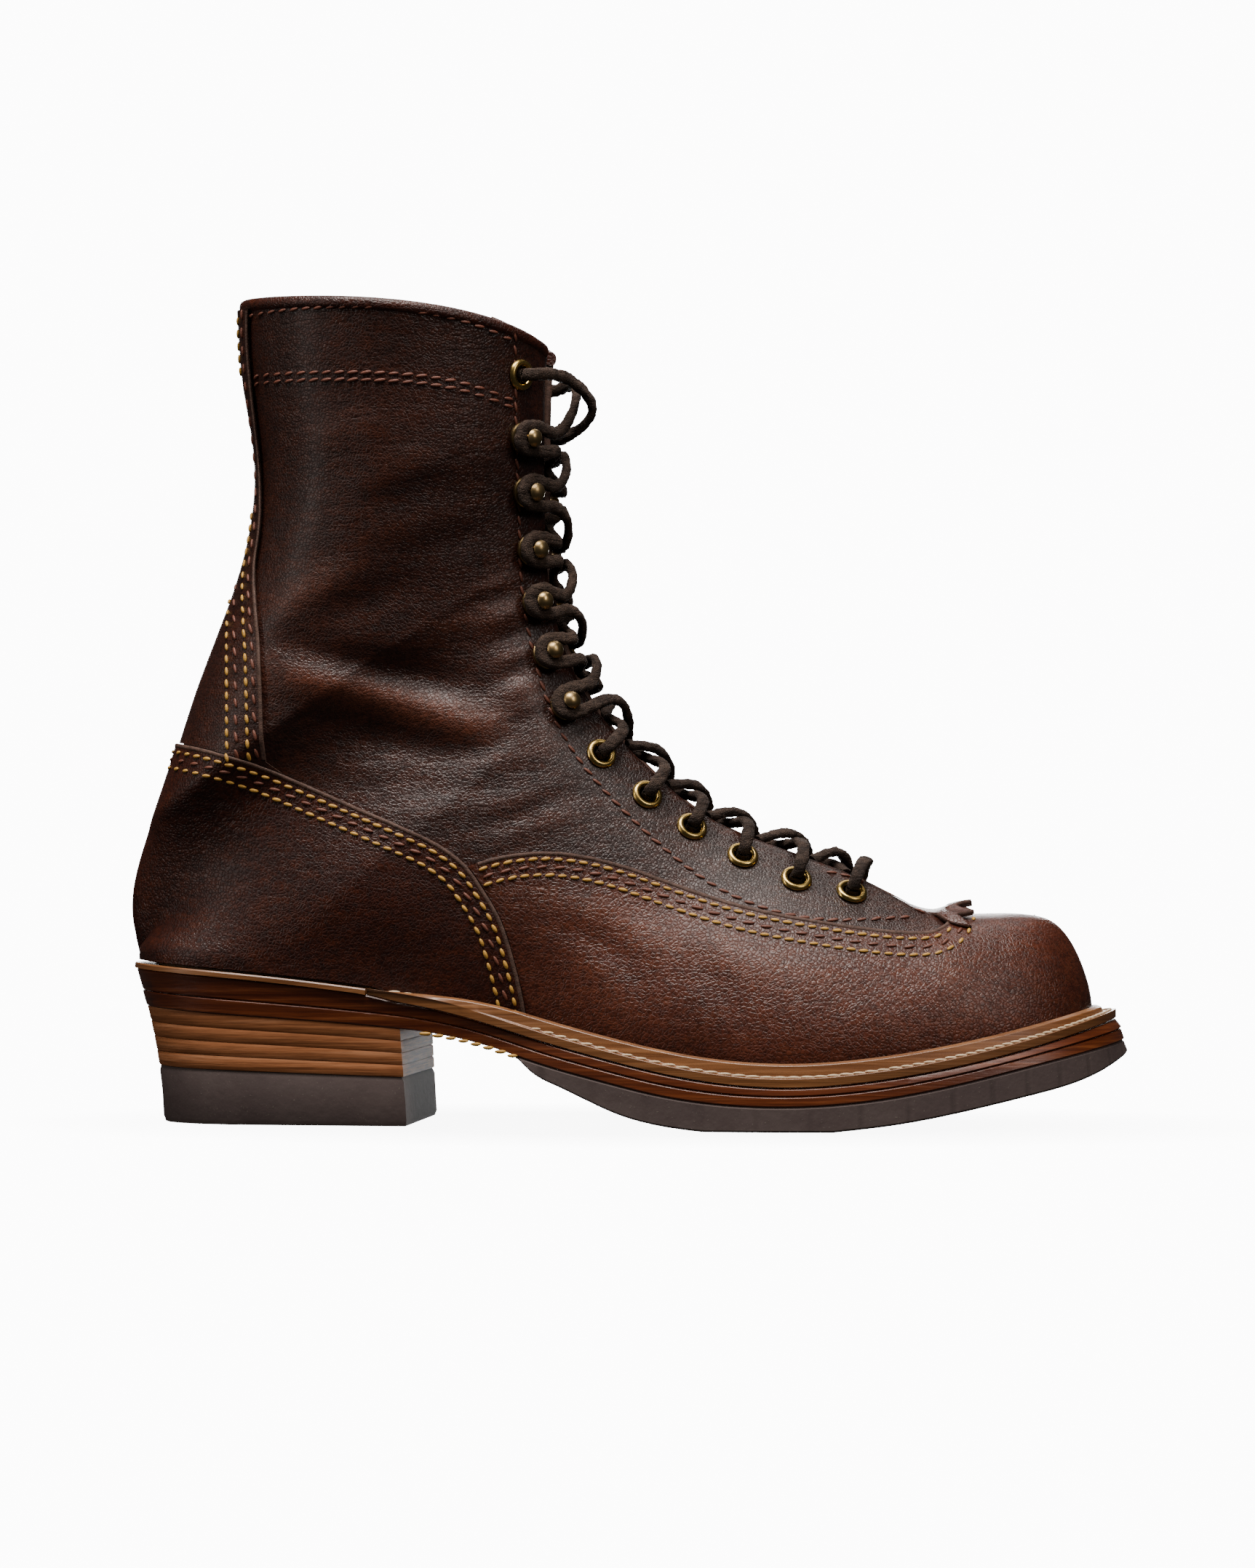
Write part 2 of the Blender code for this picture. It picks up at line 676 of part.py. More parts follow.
def build_welt():
    last = section_at_base(WELT_END)
    half = [last * (1 - i / 20) for i in range(20)]
    bm = bmesh.new()
    rings = [welt_ring(k, -1) for k in half] + [welt_ring(0.0, -1)] + [welt_ring(k, 1) for k in half[::-1]]
    loft(bm, rings)
    add_object("welt", bm, "welt")
    bm = bmesh.new()
    end_turn = turn_at(WELT_END - 2 * GAP)
    rings = []
    for side, angles in ((-1, turns(end_turn, 0.0, 8)), (1, turns(0.0, end_turn, 8)[1:])):
        for turn in angles:
            outer = print_point(turn, side, sole_margin(turn))[0]
            inner = print_point(turn, side, -WALL)[0]
            rings.append([
                (*outer, midsole_top(outer[0]) + GAP),
                (*outer, edge_top(outer[0])),
                (*inner, edge_top(inner[0])),
                (*inner, midsole_top(inner[0]) + GAP),
            ])
    loft(bm, rings)
    add_object("heel_rand", bm, "welt")


def heel_ring(height):
    """The heel's outline at one level."""
    ring = []
    lean = BREAST_LEAN * height(HEEL_BREAST) / SEAT_HEIGHT
    breast = HEEL_BREAST - lean
    end_turn = turn_at(breast)
    for side, angles in ((-1, turns(end_turn, 0.0, 8)), (1, turns(0.0, end_turn, 8)[1:])):
        for turn in angles:
            near = height(foot_x((1 - math.cos(turn)) / 2))
            plan = print_point(turn, side, sole_margin(turn) - heel_tuck(turn, near))[0]
            x = min(plan[0], breast)
            ring.append((x, plan[1], height(x)))
    return ring


def cap_top(x):
    share = (x + HEEL_BREAST) / HEEL_BASE_LENGTH
    return HEEL_CAP_BACK + (HEEL_CAP_FRONT - HEEL_CAP_BACK) * share


def build_heel():
    def level(share, lift=0.0):
        return lambda x: (leather_low(x) - GAP) * (1 - share) + cap_top(x) * share + lift

    for n in range(HEEL_LIFTS):
        bm = bmesh.new()
        loft(bm, [heel_ring(level(n / HEEL_LIFTS)), heel_ring(level((n + 1) / HEEL_LIFTS, GAP))])
        add_object(f"heel_lift_{n + 1}", bm, "heel_leather")
    bm = bmesh.new()
    loft(bm, [heel_ring(cap_top), heel_ring(lambda x: 0.0)])
    add_object("heel_cap", bm, "rubber")


def build_upper():
    upper = add_object("upper", upper_skin(), "leather")
    thicken(upper, WALL, outwards=False)
    return upper


def base_run(start, end, count=14):
    """Points just above the line that the upper stands on, seen from the side."""
    line = [start + (end - start) * i / count for i in range(count + 1)]
    low, high = foot_x(SOLE_SIDE[0][0]), foot_x(SOLE_SIDE[-1][0])
    return [(x, upper_base(min(high, max(low, x))) + GAP) for x in line]


def overlay(name, thickness, outline):
    """A leather piece on the upper: a shell of the upper's own form, cut to the outline of the piece."""
    skin = upper_skin()
    push_out(skin, GAP)
    piece = add_object(name, skin, "leather")
    thicken(piece, thickness, outwards=True)
    cut(piece, side_prism(name + "_pattern", outline), "INTERSECT")
    return piece


def build_overlays():
    counter = side_curve(COUNTER_EDGE, 20)
    far_back, far_front = foot_x(-0.08), foot_x(1.08)
    low_end = next(i for i, p in enumerate(counter) if p[1] < upper_base(p[0]) + GAP)
    overlay("counter", COUNTER_THICKNESS, counter[:low_end] + base_run(counter[low_end - 1][0], far_back))
    vamp = side_curve(VAMP_EDGE, 24)
    front = [(x + GAP * 1.3, z + GAP * 1.3) for x, z in counter[:low_end] if z < vamp[4][1]]
    vamp = [p for p in vamp if p[0] > front[0][0] + 0.002]
    outline = vamp + [(far_front, vamp[-1][1])] + base_run(far_front, front[-1][0], 24) + front[::-1]
    overlay("vamp", VAMP_THICKNESS, outline)
    stay = side_curve(BACKSTAY_EDGE, 18)
    above = [(x + GAP, z + GAP * 1.3) for x, z in counter if x < stay[-1][0] + 0.004]
    stay = [p for p in stay if p[1] > above[-1][1] + 0.001]
    outline = stay + above[::-1] + [(far_back, stay[0][1])]
    overlay("backstay", BACKSTAY_THICKNESS, outline)


def build_binding():
    """A rolled strip that sits on the collar's rim, from one facing round the back to the other."""
    rings = []
    for side in (-1, 1):
        controls = section_controls(LAST_SECTION, side)
        start = share_where(controls, lambda p: abs(p[1]) >= throat_half(LAST_SECTION))
        line = [start + (1 - start) * i / 11 for i in range(12)]
        half = []
        for t in line:
            here = curve_point(controls, t)
            ahead = curve_point(controls, min(1.0, t + 0.01))
            behind = curve_point(controls, max(0.0, t - 0.01))
            along = ahead - behind
            outward = np.array([along[1], -along[0], 0.0]) * side
            outward /= np.linalg.norm(outward)
            if t > 0.999:
                outward = np.array([-1.0, 0.0, 0.0])
            wide = BINDING_OVERHANG
            cut_ring = []
            for d, h in (
                (wide, GAP), (wide, 0.7 * BINDING_HEIGHT), (0.2 * wide - WALL * 0.2, BINDING_HEIGHT),
                (-0.8 * WALL, BINDING_HEIGHT), (-WALL - wide, 0.7 * BINDING_HEIGHT), (-WALL - wide, GAP),
            ):
                p = here + outward * d
                cut_ring.append((p[0], p[1], p[2] + h + GAP))
            half.append(cut_ring)
        rings.append(half)
    bm = bmesh.new()
    loft(bm, rings[0] + rings[1][-2::-1])
    add_object("top_binding", bm, "leather")


def skin_point(k, side, spread):
    """The point of the upper's skin at a section, this far to one side of the ridge."""
    controls = section_controls(k, side)
    if spread <= 0:
        return controls[0]
    return curve_point(controls, share_where(controls, lambda p: abs(p[1] - controls[0][1]) >= spread))


def ridge_normal(k):
    """Straight out of the ridge, in the plane of the boot's side view."""
    ahead, behind = section_controls(k - 0.1, 1)[0], section_controls(k + 0.1, 1)[0]
    run = ahead - behind
    normal = np.array([-run[2], 0.0, run[0]])
    return normal / np.linalg.norm(normal)


def sheet_over_ridge(rows):
    """An open skin across the ridge. rows are (section, half-width)."""
    bm = bmesh.new()
    shares = [-1.0, -0.6, -0.2, 0.2, 0.6, 1.0]
    grid = []
    for k, half in rows:
        grid.append([bm.verts.new(skin_point(k, -1 if u < 0 else 1, abs(u) * half)) for u in shares])
    for before, after in zip(grid, grid[1:]):
        for j in range(len(shares) - 1):
            bm.faces.new([before[j], after[j], after[j + 1], before[j + 1]])
    bm.normal_update()
    if sum(f.normal.x + f.normal.z for f in bm.faces) < 0:
        bmesh.ops.reverse_faces(bm, faces=bm.faces)
    bm.normal_update()
    return bm, grid


def build_tongue():
    sections = [k for k in SECTION_ROWS if k > THROAT_SECTION]
    spread = smooth_line(TONGUE_SPREAD)
    bm, grid = sheet_over_ridge([(k, BALL_WIDTH * spread(k)[0]) for k in sections])
    push_out(bm, -(WALL + 5 * GAP))
    top = [bm.verts.new(v.co + Vector((0.0, 0.0, 0.0045))) for v in grid[-1]]
    for j in range(len(top) - 1):
        bm.faces.new([grid[-1][j], top[j], top[j + 1], grid[-1][j + 1]])
    bmesh.ops.recalc_face_normals(bm, faces=bm.faces)
    if sum(f.normal.x + f.normal.z for f in bm.faces) < 0:
        bmesh.ops.reverse_faces(bm, faces=bm.faces)
    tongue = add_object("tongue", bm, "leather")
    thicken(tongue, TONGUE_THICKNESS, outwards=False)


def build_kiltie():
    bm, grid = sheet_over_ridge([(k, BALL_WIDTH * half) for k, half, _ in KILTIE])
    moves = [(v, v.normal.copy(), KILTIE[i][2]) for i, row in enumerate(grid) for v in row]
    for v, normal, lift in moves:
        v.co += normal * lift
    front = grid[-1]
    for j, v in enumerate(front):
        if j % 2:
            v.co.x -= KILTIE_NOTCH
            v.co.z -= KILTIE_NOTCH * 0.10
    kiltie = add_object("kiltie", bm, "leather")
    thicken(kiltie, KILTIE_THICKNESS, outwards=True)


def lathe(bm, profile, place, axis, segments, closed):
    """Turns a profile of (radius, height) about an axis that starts at place."""
    turn = Vector(axis).to_track_quat("Z", "Y").to_matrix()
    rings = []
    for radius, height in profile:
        if radius == 0:
            rings.append([bm.verts.new(turn @ Vector((0, 0, height)) + Vector(place))])
            continue
        angles = [2 * math.pi * i / segments for i in range(segments)]
        rings.append([
            bm.verts.new(turn @ Vector((radius * math.cos(a), radius * math.sin(a), height)) + Vector(place))
            for a in angles
        ])
    pairs = list(zip(rings, rings[1:])) + ([(rings[-1], rings[0])] if closed else [])
    for a, b in pairs:
        for j in range(segments):
            n = (j + 1) % segments
            face = [a[j % len(a)], a[n % len(a)], b[n % len(b)], b[j % len(b)]]
            bm.faces.new(list(dict.fromkeys(face)))


def face_out(bm):
    """Turns the faces of a closed form outwards, also where its hole misleads the recalculation."""
    bmesh.ops.recalc_face_normals(bm, faces=bm.faces)
    if bm.calc_volume(signed=True) < 0:
        bmesh.ops.reverse_faces(bm, faces=bm.faces)


def side_spot(skin, spot, side):
    """Where a point of the side view lies on the upper, and the way out of the upper there."""
    x, z = foot_x(spot[0]), RIM_HEIGHT * spot[1]
    place, normal, _, _ = skin.ray_cast(Vector((x, side * BALL_WIDTH, z)), Vector((0, -side, 0)))
    return np.array(place), np.array(normal)


def build_eyelets(skin, upper):
    profile = [
        (EYELET_BORE_R, -WALL), (EYELET_BARREL_R, 1.1 * SEATING), (EYELET_FLANGE_R, SEATING),
        (0.8 * EYELET_FLANGE_R, SEATING + EYELET_FLANGE_H), (EYELET_BORE_R, SEATING + 0.5 * EYELET_FLANGE_H),
    ]
    holes = bmesh.new()
    for side, label in ((-1, "outer"), (1, "inner")):
        for n, spot in enumerate(EYELETS + [TOP_EYELET]):
            place, normal = side_spot(skin, spot, side)
            bm = bmesh.new()
            lathe(bm, profile, place, normal, 8, closed=True)
            face_out(bm)
            add_object(f"eyelet_{label}_{n + 1}", bm, "brass")
            reach = 2.5 * WALL
            radius = EYELET_BARREL_R + 2 * GAP
            lathe(holes, [(0, -reach), (radius, -reach), (radius, reach), (0, reach)], place, normal, 7, False)
    bmesh.ops.recalc_face_normals(holes, faces=holes.faces)
    cut(upper, helper("eyelet_holes", holes), "DIFFERENCE")


def build_hooks(skin):
    profile = [
        (0, SEATING), (HOOK_BASE_R, SEATING), (0.9 * HOOK_BASE_R, SEATING + HOOK_BASE_H),
        (HOOK_NECK_R, SEATING + HOOK_BASE_H),
        (HOOK_NECK_R, HOOK_HEAD_LOW), (HOOK_HEAD_R, HOOK_HEAD_LOW + 0.0006), (0.7 * HOOK_HEAD_R, 0.93 * HOOK_HEIGHT),
        (0, HOOK_HEIGHT),
    ]
    for side, label in ((-1, "outer"), (1, "inner")):
        for n, spot in enumerate(HOOKS):
            place, normal = side_spot(skin, spot, side)
            bm = bmesh.new()
            lathe(bm, profile, place, normal, 7, closed=False)
            face_out(bm)
            add_object(f"hook_{label}_{n + 1}", bm, "brass")


def strap(name, path):
    """A flat piece of lace along a path of (point, outward)."""
    points = [np.array(p, float) for p, _ in path]
    rings = []
    for i, (_, outward) in enumerate(path):
        run = points[min(i + 1, len(points) - 1)] - points[max(i - 1, 0)]
        run /= np.linalg.norm(run)
        up = np.array(outward, float) - run * np.dot(outward, run)
        up /= np.linalg.norm(up)
        across = np.cross(run, up) * LACE_WIDTH / 2
        up = up * LACE_THICKNESS / 2
        rings.append([points[i] + across + up, points[i] + across - up, points[i] - across - up, points[i] - across + up])
    bm = bmesh.new()
    loft(bm, rings)
    add_object(name, bm, "lace")


def nearest_section(place):
    """The section whose ridge point is nearest to a place, seen from the side."""
    sections = [THROAT_SECTION + 0.05 * i for i in range(int((LAST_SECTION - THROAT_SECTION) / 0.05) + 1)]

    def apart(k):
        ridge = section_controls(k, 1)[0]
        return (ridge[0] - place[0]) ** 2 + (ridge[2] - place[2]) ** 2

    return min(sections, key=apart)


def edge_spot(k, side, height, inset=0.0):
    """Over the edge of the facing, or inset into the gap between the facings."""
    normal = ridge_normal(k)
    half = throat_half(k) - inset
    return skin_point(k, side, half) + normal * height, normal


def middle_spot(k, height):
    normal = ridge_normal(k)
    return section_controls(k, 1)[0] + normal * height, normal


def build_lace(skin):
    over = SEATING + EYELET_FLANGE_H + 5 * GAP + LACE_THICKNESS / 2
    low = 6 * GAP + LACE_THICKNESS / 2
    sunk = -(WALL + 5 * GAP) + 4 * GAP + LACE_THICKNESS / 2
    lifted = sunk + LACE_THICKNESS + 8 * GAP
    inset = LACE_WIDTH / 2 + 4 * GAP
    on_hook = SEATING + HOOK_BASE_H + 3 * GAP + LACE_THICKNESS / 2
    eyelets = {s: [side_spot(skin, spot, s) for spot in EYELETS] for s in (-1, 1)}
    tops = {s: side_spot(skin, TOP_EYELET, s) for s in (-1, 1)}
    hooks = {s: [side_spot(skin, spot, s) for spot in HOOKS] for s in (-1, 1)}
    at = [nearest_section(place) for place, _ in eyelets[-1]]
    hook_at = [nearest_section(place) for place, _ in hooks[-1]]

    def out_of(spot, height):
        return spot[0] + spot[1] * height, spot[1]

    strap("lace_bar", [
        out_of(eyelets[-1][0], over), edge_spot(at[0], -1, low + 0.0008), middle_spot(at[0], low),
        edge_spot(at[0], 1, low + 0.0008), out_of(eyelets[1][0], over),
    ])
    for n in range(5):
        middle = (at[n] + at[n + 1]) / 2
        step = at[n + 1] - at[n]
        for side in (-1, 1):
            centre = middle_spot(middle, lifted if side > 0 else sunk)
            end = edge_spot(at[n + 1] - 0.12 * step, -side, sunk, inset)
            name = f"lace_{'outer' if side < 0 else 'inner'}_{n + 1}"
            if n == 0:
                strap(name, [edge_spot(at[0] + 0.2 * step, side, sunk, inset), centre, end])
            else:
                strap(name, [out_of(eyelets[side][n], over), edge_spot(at[n] + 0.15 * step, side, low), centre, end])
    for first in (-1, 1):
        lift = lifted + 8 * GAP if first > 0 else sunk - GAP
        step = hook_at[0] - at[5]
        path = [
            out_of(eyelets[first][5], over), edge_spot(at[5] + 0.15 * step, first, low),
            middle_spot((at[5] + hook_at[0]) / 2, lift),
        ]
        side = -first
        for n in range(6):
            centre, normal = hooks[side][n]
            gap = hook_at[min(n + 1, 5)] - hook_at[max(n, 0)] if n < 5 else hook_at[5] - hook_at[4]
            edge, _ = edge_spot(hook_at[n], side, 0.0)
            front = edge - centre
            front -= normal * np.dot(front, normal)
            front /= np.linalg.norm(front)
            rise = np.cross(normal, front) * -side
            path.append(edge_spot(hook_at[n] - 0.19 * gap, side, on_hook))
            for degrees in (-80, -135, 180, 135, 80):
                a = math.radians(degrees)
                path.append((
                    centre + (front * math.cos(a) + rise * math.sin(a)) * HOOK_LOOP_R + normal * on_hook, normal,
                ))
            path.append(edge_spot(hook_at[n] + 0.19 * gap, side, on_hook))
            if n < 5:
                path.append(middle_spot((hook_at[n] + hook_at[n + 1]) / 2, lift))
                side = -side
        reach = nearest_section(tops[-side][0])
        path.append(middle_spot((hook_at[5] + reach) / 2, lift + SLACK_BULGE))
        path.append(edge_spot(reach, -side, low + 0.5 * SLACK_BULGE))
        path.append(out_of(tops[-side], over))
        strap(f"lace_{'outer' if first < 0 else 'inner'}_run", path)


def build_fittings(upper):
    bm = upper_skin()
    skin = BVHTree.FromBMesh(bm)
    bm.free()
    build_eyelets(skin, upper)
    build_hooks(skin)
    build_lace(skin)


clear_scene()
build_sole()
build_welt()
build_heel()
upper_wall = build_upper()
build_overlays()
build_binding()
build_tongue()
build_kiltie()
build_fittings(upper_wall)
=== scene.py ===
# %% [markdown]
# # A lace-up logger boot
# This script dresses the solid model of a right boot. The solids say where every piece is, and each
# step below remakes a piece at the fineness that shows: leather with its creases, seams, brass and
# rawhide. The frame is metres, +X to the toe, +Y to the inner side of the foot and +Z up.

# %% Load the frame
import math
import random

import bmesh
import bpy
import numpy as np
from mathutils import Matrix, Vector
from mathutils import noise as perlin
from mathutils.bvhtree import BVHTree


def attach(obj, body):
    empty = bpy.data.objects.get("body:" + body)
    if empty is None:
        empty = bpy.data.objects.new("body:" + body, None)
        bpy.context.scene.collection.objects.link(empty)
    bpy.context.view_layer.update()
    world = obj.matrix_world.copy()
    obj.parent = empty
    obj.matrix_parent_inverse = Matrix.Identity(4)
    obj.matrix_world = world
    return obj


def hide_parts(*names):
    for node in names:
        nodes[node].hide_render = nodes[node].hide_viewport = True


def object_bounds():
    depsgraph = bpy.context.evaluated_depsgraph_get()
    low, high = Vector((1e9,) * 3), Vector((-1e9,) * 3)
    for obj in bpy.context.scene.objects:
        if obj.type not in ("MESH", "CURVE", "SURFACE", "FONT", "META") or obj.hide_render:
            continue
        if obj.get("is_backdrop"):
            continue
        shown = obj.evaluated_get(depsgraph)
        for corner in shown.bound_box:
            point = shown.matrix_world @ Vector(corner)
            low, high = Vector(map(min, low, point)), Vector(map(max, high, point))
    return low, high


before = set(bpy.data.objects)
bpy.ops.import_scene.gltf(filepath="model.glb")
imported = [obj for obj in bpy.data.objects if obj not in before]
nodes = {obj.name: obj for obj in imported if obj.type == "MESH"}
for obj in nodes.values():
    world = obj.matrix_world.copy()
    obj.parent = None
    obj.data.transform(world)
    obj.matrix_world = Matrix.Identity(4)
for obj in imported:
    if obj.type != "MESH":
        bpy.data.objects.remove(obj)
cad_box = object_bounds()
MM = 0.001
print("solids:", len(nodes), "box:", [round(v, 3) for v in (*cad_box[0], *cad_box[1])])

# %% [markdown]
# ## Sizes
# A last maker starts from the length of the foot, the width of the ball and the heights of the heel
# seat and the collar. Every section below is a share of those, so that the leather here follows the
# same last as the solids.

# %% Driving sizes
FOOT_LENGTH = 0.2873
BALL_WIDTH = 0.0874
SEAT_HEIGHT = 0.0487
RIM_HEIGHT = 0.2490
TOE_SWING = 0.0080
HEEL_BASE_LENGTH = 0.0800
HEEL_TUCK_BACK = 0.0093
HEEL_TUCK_SIDE = 0.0042
SEAT_BACK = 0.0056

# Leather and rubber
WALL = 0.0022
VAMP_THICKNESS = 0.0015
COUNTER_THICKNESS = 0.0022
BACKSTAY_THICKNESS = 0.0013
TONGUE_THICKNESS = 0.0016
KILTIE_THICKNESS = 0.0016
INSOLE_THICKNESS = 0.0046
WELT_THICKNESS = 0.0027
RAND_THICKNESS = 0.0015
LIP_HEIGHT = 0.0042
LIP_THICKNESS = 0.0021
HEEL_CAP_BACK = 0.0172
HEEL_CAP_FRONT = 0.0147
HEEL_LIFTS = 4
BINDING_HEIGHT = 0.0030
BINDING_OVERHANG = 0.0006
GAP = 0.0003

# Where one thing ends and the next starts, as x from the origin
HEEL_BREAST = HEEL_BASE_LENGTH / 2
BREAST_LEAN = 0.0032
TOE_FLARE = 0.0034
WELT_END = 0.0285
HALF_SOLE_BACK = 0.0740
COUNTER_FRONT = 0.0760
TREAD_FLAT_BACK = 0.1300
TREAD_FLAT_FRONT = 0.1680
FOOT_BACK = -(HEEL_BASE_LENGTH / 2 + SEAT_BACK)

# Eyelets, hooks and lace
EYELET_FLANGE_R = 0.0048
EYELET_BORE_R = 0.0026
EYELET_BARREL_R = 0.0030
HOOK_BASE_R = 0.0047
HOOK_BASE_H = 0.0008
HOOK_NECK_R = 0.0013
HOOK_HEAD_R = 0.0028
HOOK_HEAD_LOW = 0.0054
HOOK_HEIGHT = 0.0076
LACE_WIDTH = 0.0038
LACE_THICKNESS = 0.0027
HOOK_LOOP_R = 0.0039
SEATING = 0.0008
SLACK_BULGE = 0.0080
print("foot", FOOT_LENGTH / MM, "mm long, ball", BALL_WIDTH / MM, "mm wide")

# %% [markdown]
# ## The last in tables
# The print of the foot, the side of the sole and the sections of the upper are each a short table.
# A row is one place along the boot, and its numbers are shares of the driving sizes.

# %% Tables of the last
# The foot's print on the sole: share of FOOT_LENGTH from the heel, then the outer and the inner
# half-width from the swing line, as shares of BALL_WIDTH.
FOOTPRINT = [
    # along  outer  inner
    (0.000, 0.000, 0.000),
    (0.030, 0.229, 0.229),
    (0.080, 0.317, 0.317),
    (0.150, 0.343, 0.343),
    (0.250, 0.352, 0.337),
    (0.350, 0.348, 0.300),
    (0.430, 0.362, 0.300),
    (0.520, 0.421, 0.362),
    (0.600, 0.473, 0.423),
    (0.680, 0.498, 0.468),
    (0.760, 0.486, 0.482),
    (0.840, 0.440, 0.462),
    (0.910, 0.366, 0.400),
    (0.960, 0.275, 0.298),
    (0.990, 0.146, 0.154),
    (1.000, 0.000, 0.000),
]

# How far the sole stands out past the print: share of FOOT_LENGTH, then share of BALL_WIDTH.
SOLE_MARGIN = [
    (0.00, 0.042),
    (0.20, 0.046),
    (0.32, 0.062),
    (0.45, 0.092),
    (0.65, 0.112),
    (0.85, 0.112),
    (1.00, 0.108),
]

# Side of the sole: share of FOOT_LENGTH, then heights as shares of SEAT_HEIGHT: the top of the edge
# and the underside of the leather outsole.
SOLE_SIDE = [
    # along  edge   leather
    (-0.014, 1.000, 0.735),
    (0.115, 0.940, 0.680),
    (0.249, 0.852, 0.626),
    (0.328, 0.776, 0.573),
    (0.380, 0.697, 0.507),
    (0.433, 0.602, 0.410),
    (0.504, 0.490, 0.300),
    (0.562, 0.410, 0.222),
    (0.632, 0.343, 0.166),
    (0.703, 0.322, 0.154),
    (0.774, 0.352, 0.183),
    (0.844, 0.415, 0.250),
    (0.949, 0.560, 0.395),
    (1.032, 0.712, 0.512),
]
MID_LINE_SHARE = 0.64

# Underside of the rubber half sole behind and in front of its flat, as shares as above.
TREAD_BACK = [(0.416, 0.428), (0.432, 0.340), (0.456, 0.268), (0.523, 0.098), (0.562, 0.038), (0.611, 0.0)]
TREAD_FRONT = [(0.744, 0.0), (0.809, 0.045), (0.879, 0.123), (0.949, 0.219), (1.021, 0.361), (1.043, 0.437)]

# Sections of the upper, toe to collar. The ridge is a share of FOOT_LENGTH from the heel and of
# RIM_HEIGHT. base runs from 1 at the toe tip to 0 at the heel's back along the print, and from
# 0 to -1 up the back. aim is the way out in degrees from the toe, and set is how far down the lower
# middle lies. The other columns are shares of BALL_WIDTH: how far the curve stands out by the ridge
# and above and below its middle, how far past the print and along it at the base, how steeply it
# rises there, and the lift of its middle.
SECTIONS = [
    # ridge_x ridge_z base   aim  brow   high   low    set   out    along  rise   lift
    (0.9471, 0.2450, 1.000, 0.0, 0.096, 0.085, 0.085, 0.68, 0.009, 0.000, 0.046, 0.000),
    (0.9349, 0.2474, 0.912, 30.0, 0.138, 0.100, 0.096, 0.68, 0.010, 0.000, 0.051, 0.010),
    (0.9158, 0.2486, 0.833, 58.0, 0.192, 0.130, 0.114, 0.68, 0.011, 0.000, 0.063, 0.025),
    (0.8879, 0.2482, 0.763, 80.0, 0.240, 0.165, 0.137, 0.68, 0.014, 0.000, 0.080, 0.045),
    (0.8549, 0.2530, 0.697, 88.0, 0.255, 0.190, 0.172, 0.68, 0.017, 0.000, 0.103, 0.060),
    (0.8113, 0.2811, 0.634, 90.0, 0.215, 0.190, 0.200, 0.68, 0.023, 0.000, 0.126, 0.055),
    (0.7487, 0.3141, 0.574, 90.0, 0.190, 0.190, 0.225, 0.68, 0.023, 0.000, 0.149, 0.045),
    (0.6791, 0.3446, 0.516, 90.0, 0.180, 0.190, 0.240, 0.68, 0.023, 0.000, 0.172, 0.035),
    (0.6063, 0.3831, 0.458, 90.0, 0.180, 0.195, 0.240, 0.68, 0.023, 0.000, 0.206, 0.025),
    (0.5444, 0.4442, 0.400, 90.0, 0.185, 0.235, 0.292, 0.68, 0.017, 0.000, 0.252, 0.015),
    (0.4929, 0.5100, 0.333, 90.0, 0.200, 0.322, 0.409, 0.68, 0.012, 0.000, 0.297, 0.005),
    (0.4671, 0.5614, 0.244, 90.0, 0.222, 0.380, 0.462, 0.70, 0.013, 0.000, 0.280, 0.000),
    (0.4553, 0.5984, 0.136, 90.0, 0.236, 0.395, 0.478, 0.75, 0.006, 0.080, 0.220, 0.000),
    (0.4480, 0.6265, 0.000, 90.0, 0.242, 0.392, 0.484, 0.80, 0.000, 0.310, 0.230, 0.000),
    (0.4438, 0.6554, -0.066, 90.0, 0.244, 0.394, 0.480, 0.80, 0.000, 0.330, 0.100, 0.000),
    (0.4396, 0.6948, -0.176, 90.0, 0.248, 0.402, 0.476, 0.78, 0.000, 0.335, 0.035, 0.000),
    (0.4372, 0.7390, -0.296, 90.0, 0.250, 0.424, 0.490, 0.74, 0.000, 0.315, 0.000, 0.000),
    (0.4358, 0.7871, -0.441, 90.0, 0.252, 0.460, 0.508, 0.71, 0.000, 0.286, 0.000, 0.000),
    (0.4354, 0.8313, -0.596, 90.0, 0.252, 0.515, 0.538, 0.68, 0.000, 0.280, 0.000, 0.000),
    (0.4354, 0.8715, -0.755, 90.0, 0.263, 0.538, 0.572, 0.68, 0.000, 0.297, 0.000, 0.020),
    (0.4365, 0.9045, -0.900, 90.0, 0.275, 0.572, 0.606, 0.68, 0.000, 0.309, -0.008, 0.075),
    (0.4386, 0.9300, -1.000, 90.0, 0.286, 0.606, 0.629, 0.68, 0.000, 0.320, -0.016, 0.125),
]
THROAT_SECTION = 4.0
CORNER_SECTION = 13.0
LAST_SECTION = len(SECTIONS) - 1
# Where the widths of the middle stop being measured from the chord and start from the ridge.
FROM_THE_RIDGE = (8.0, 11.0)

# Back line of the upper: share of the way up it, then x as a share of FOOT_LENGTH from the heel.
BACK_LINE = [
    (0.000, 0.0000), (0.066, -0.0080), (0.176, 0.0063), (0.296, 0.0320), (0.441, 0.0651),
    (0.596, 0.1051), (0.755, 0.1204), (0.900, 0.1069), (1.000, 0.1016),
]

# Half of the throat's width along the sections, as a share of BALL_WIDTH.
THROAT = [
    (4.00, 0.000), (4.30, 0.112), (4.70, 0.142), (5.20, 0.124), (6.00, 0.096), (8.00, 0.090),
    (10.0, 0.088), (13.0, 0.084), (17.0, 0.084), (21.0, 0.092),
]

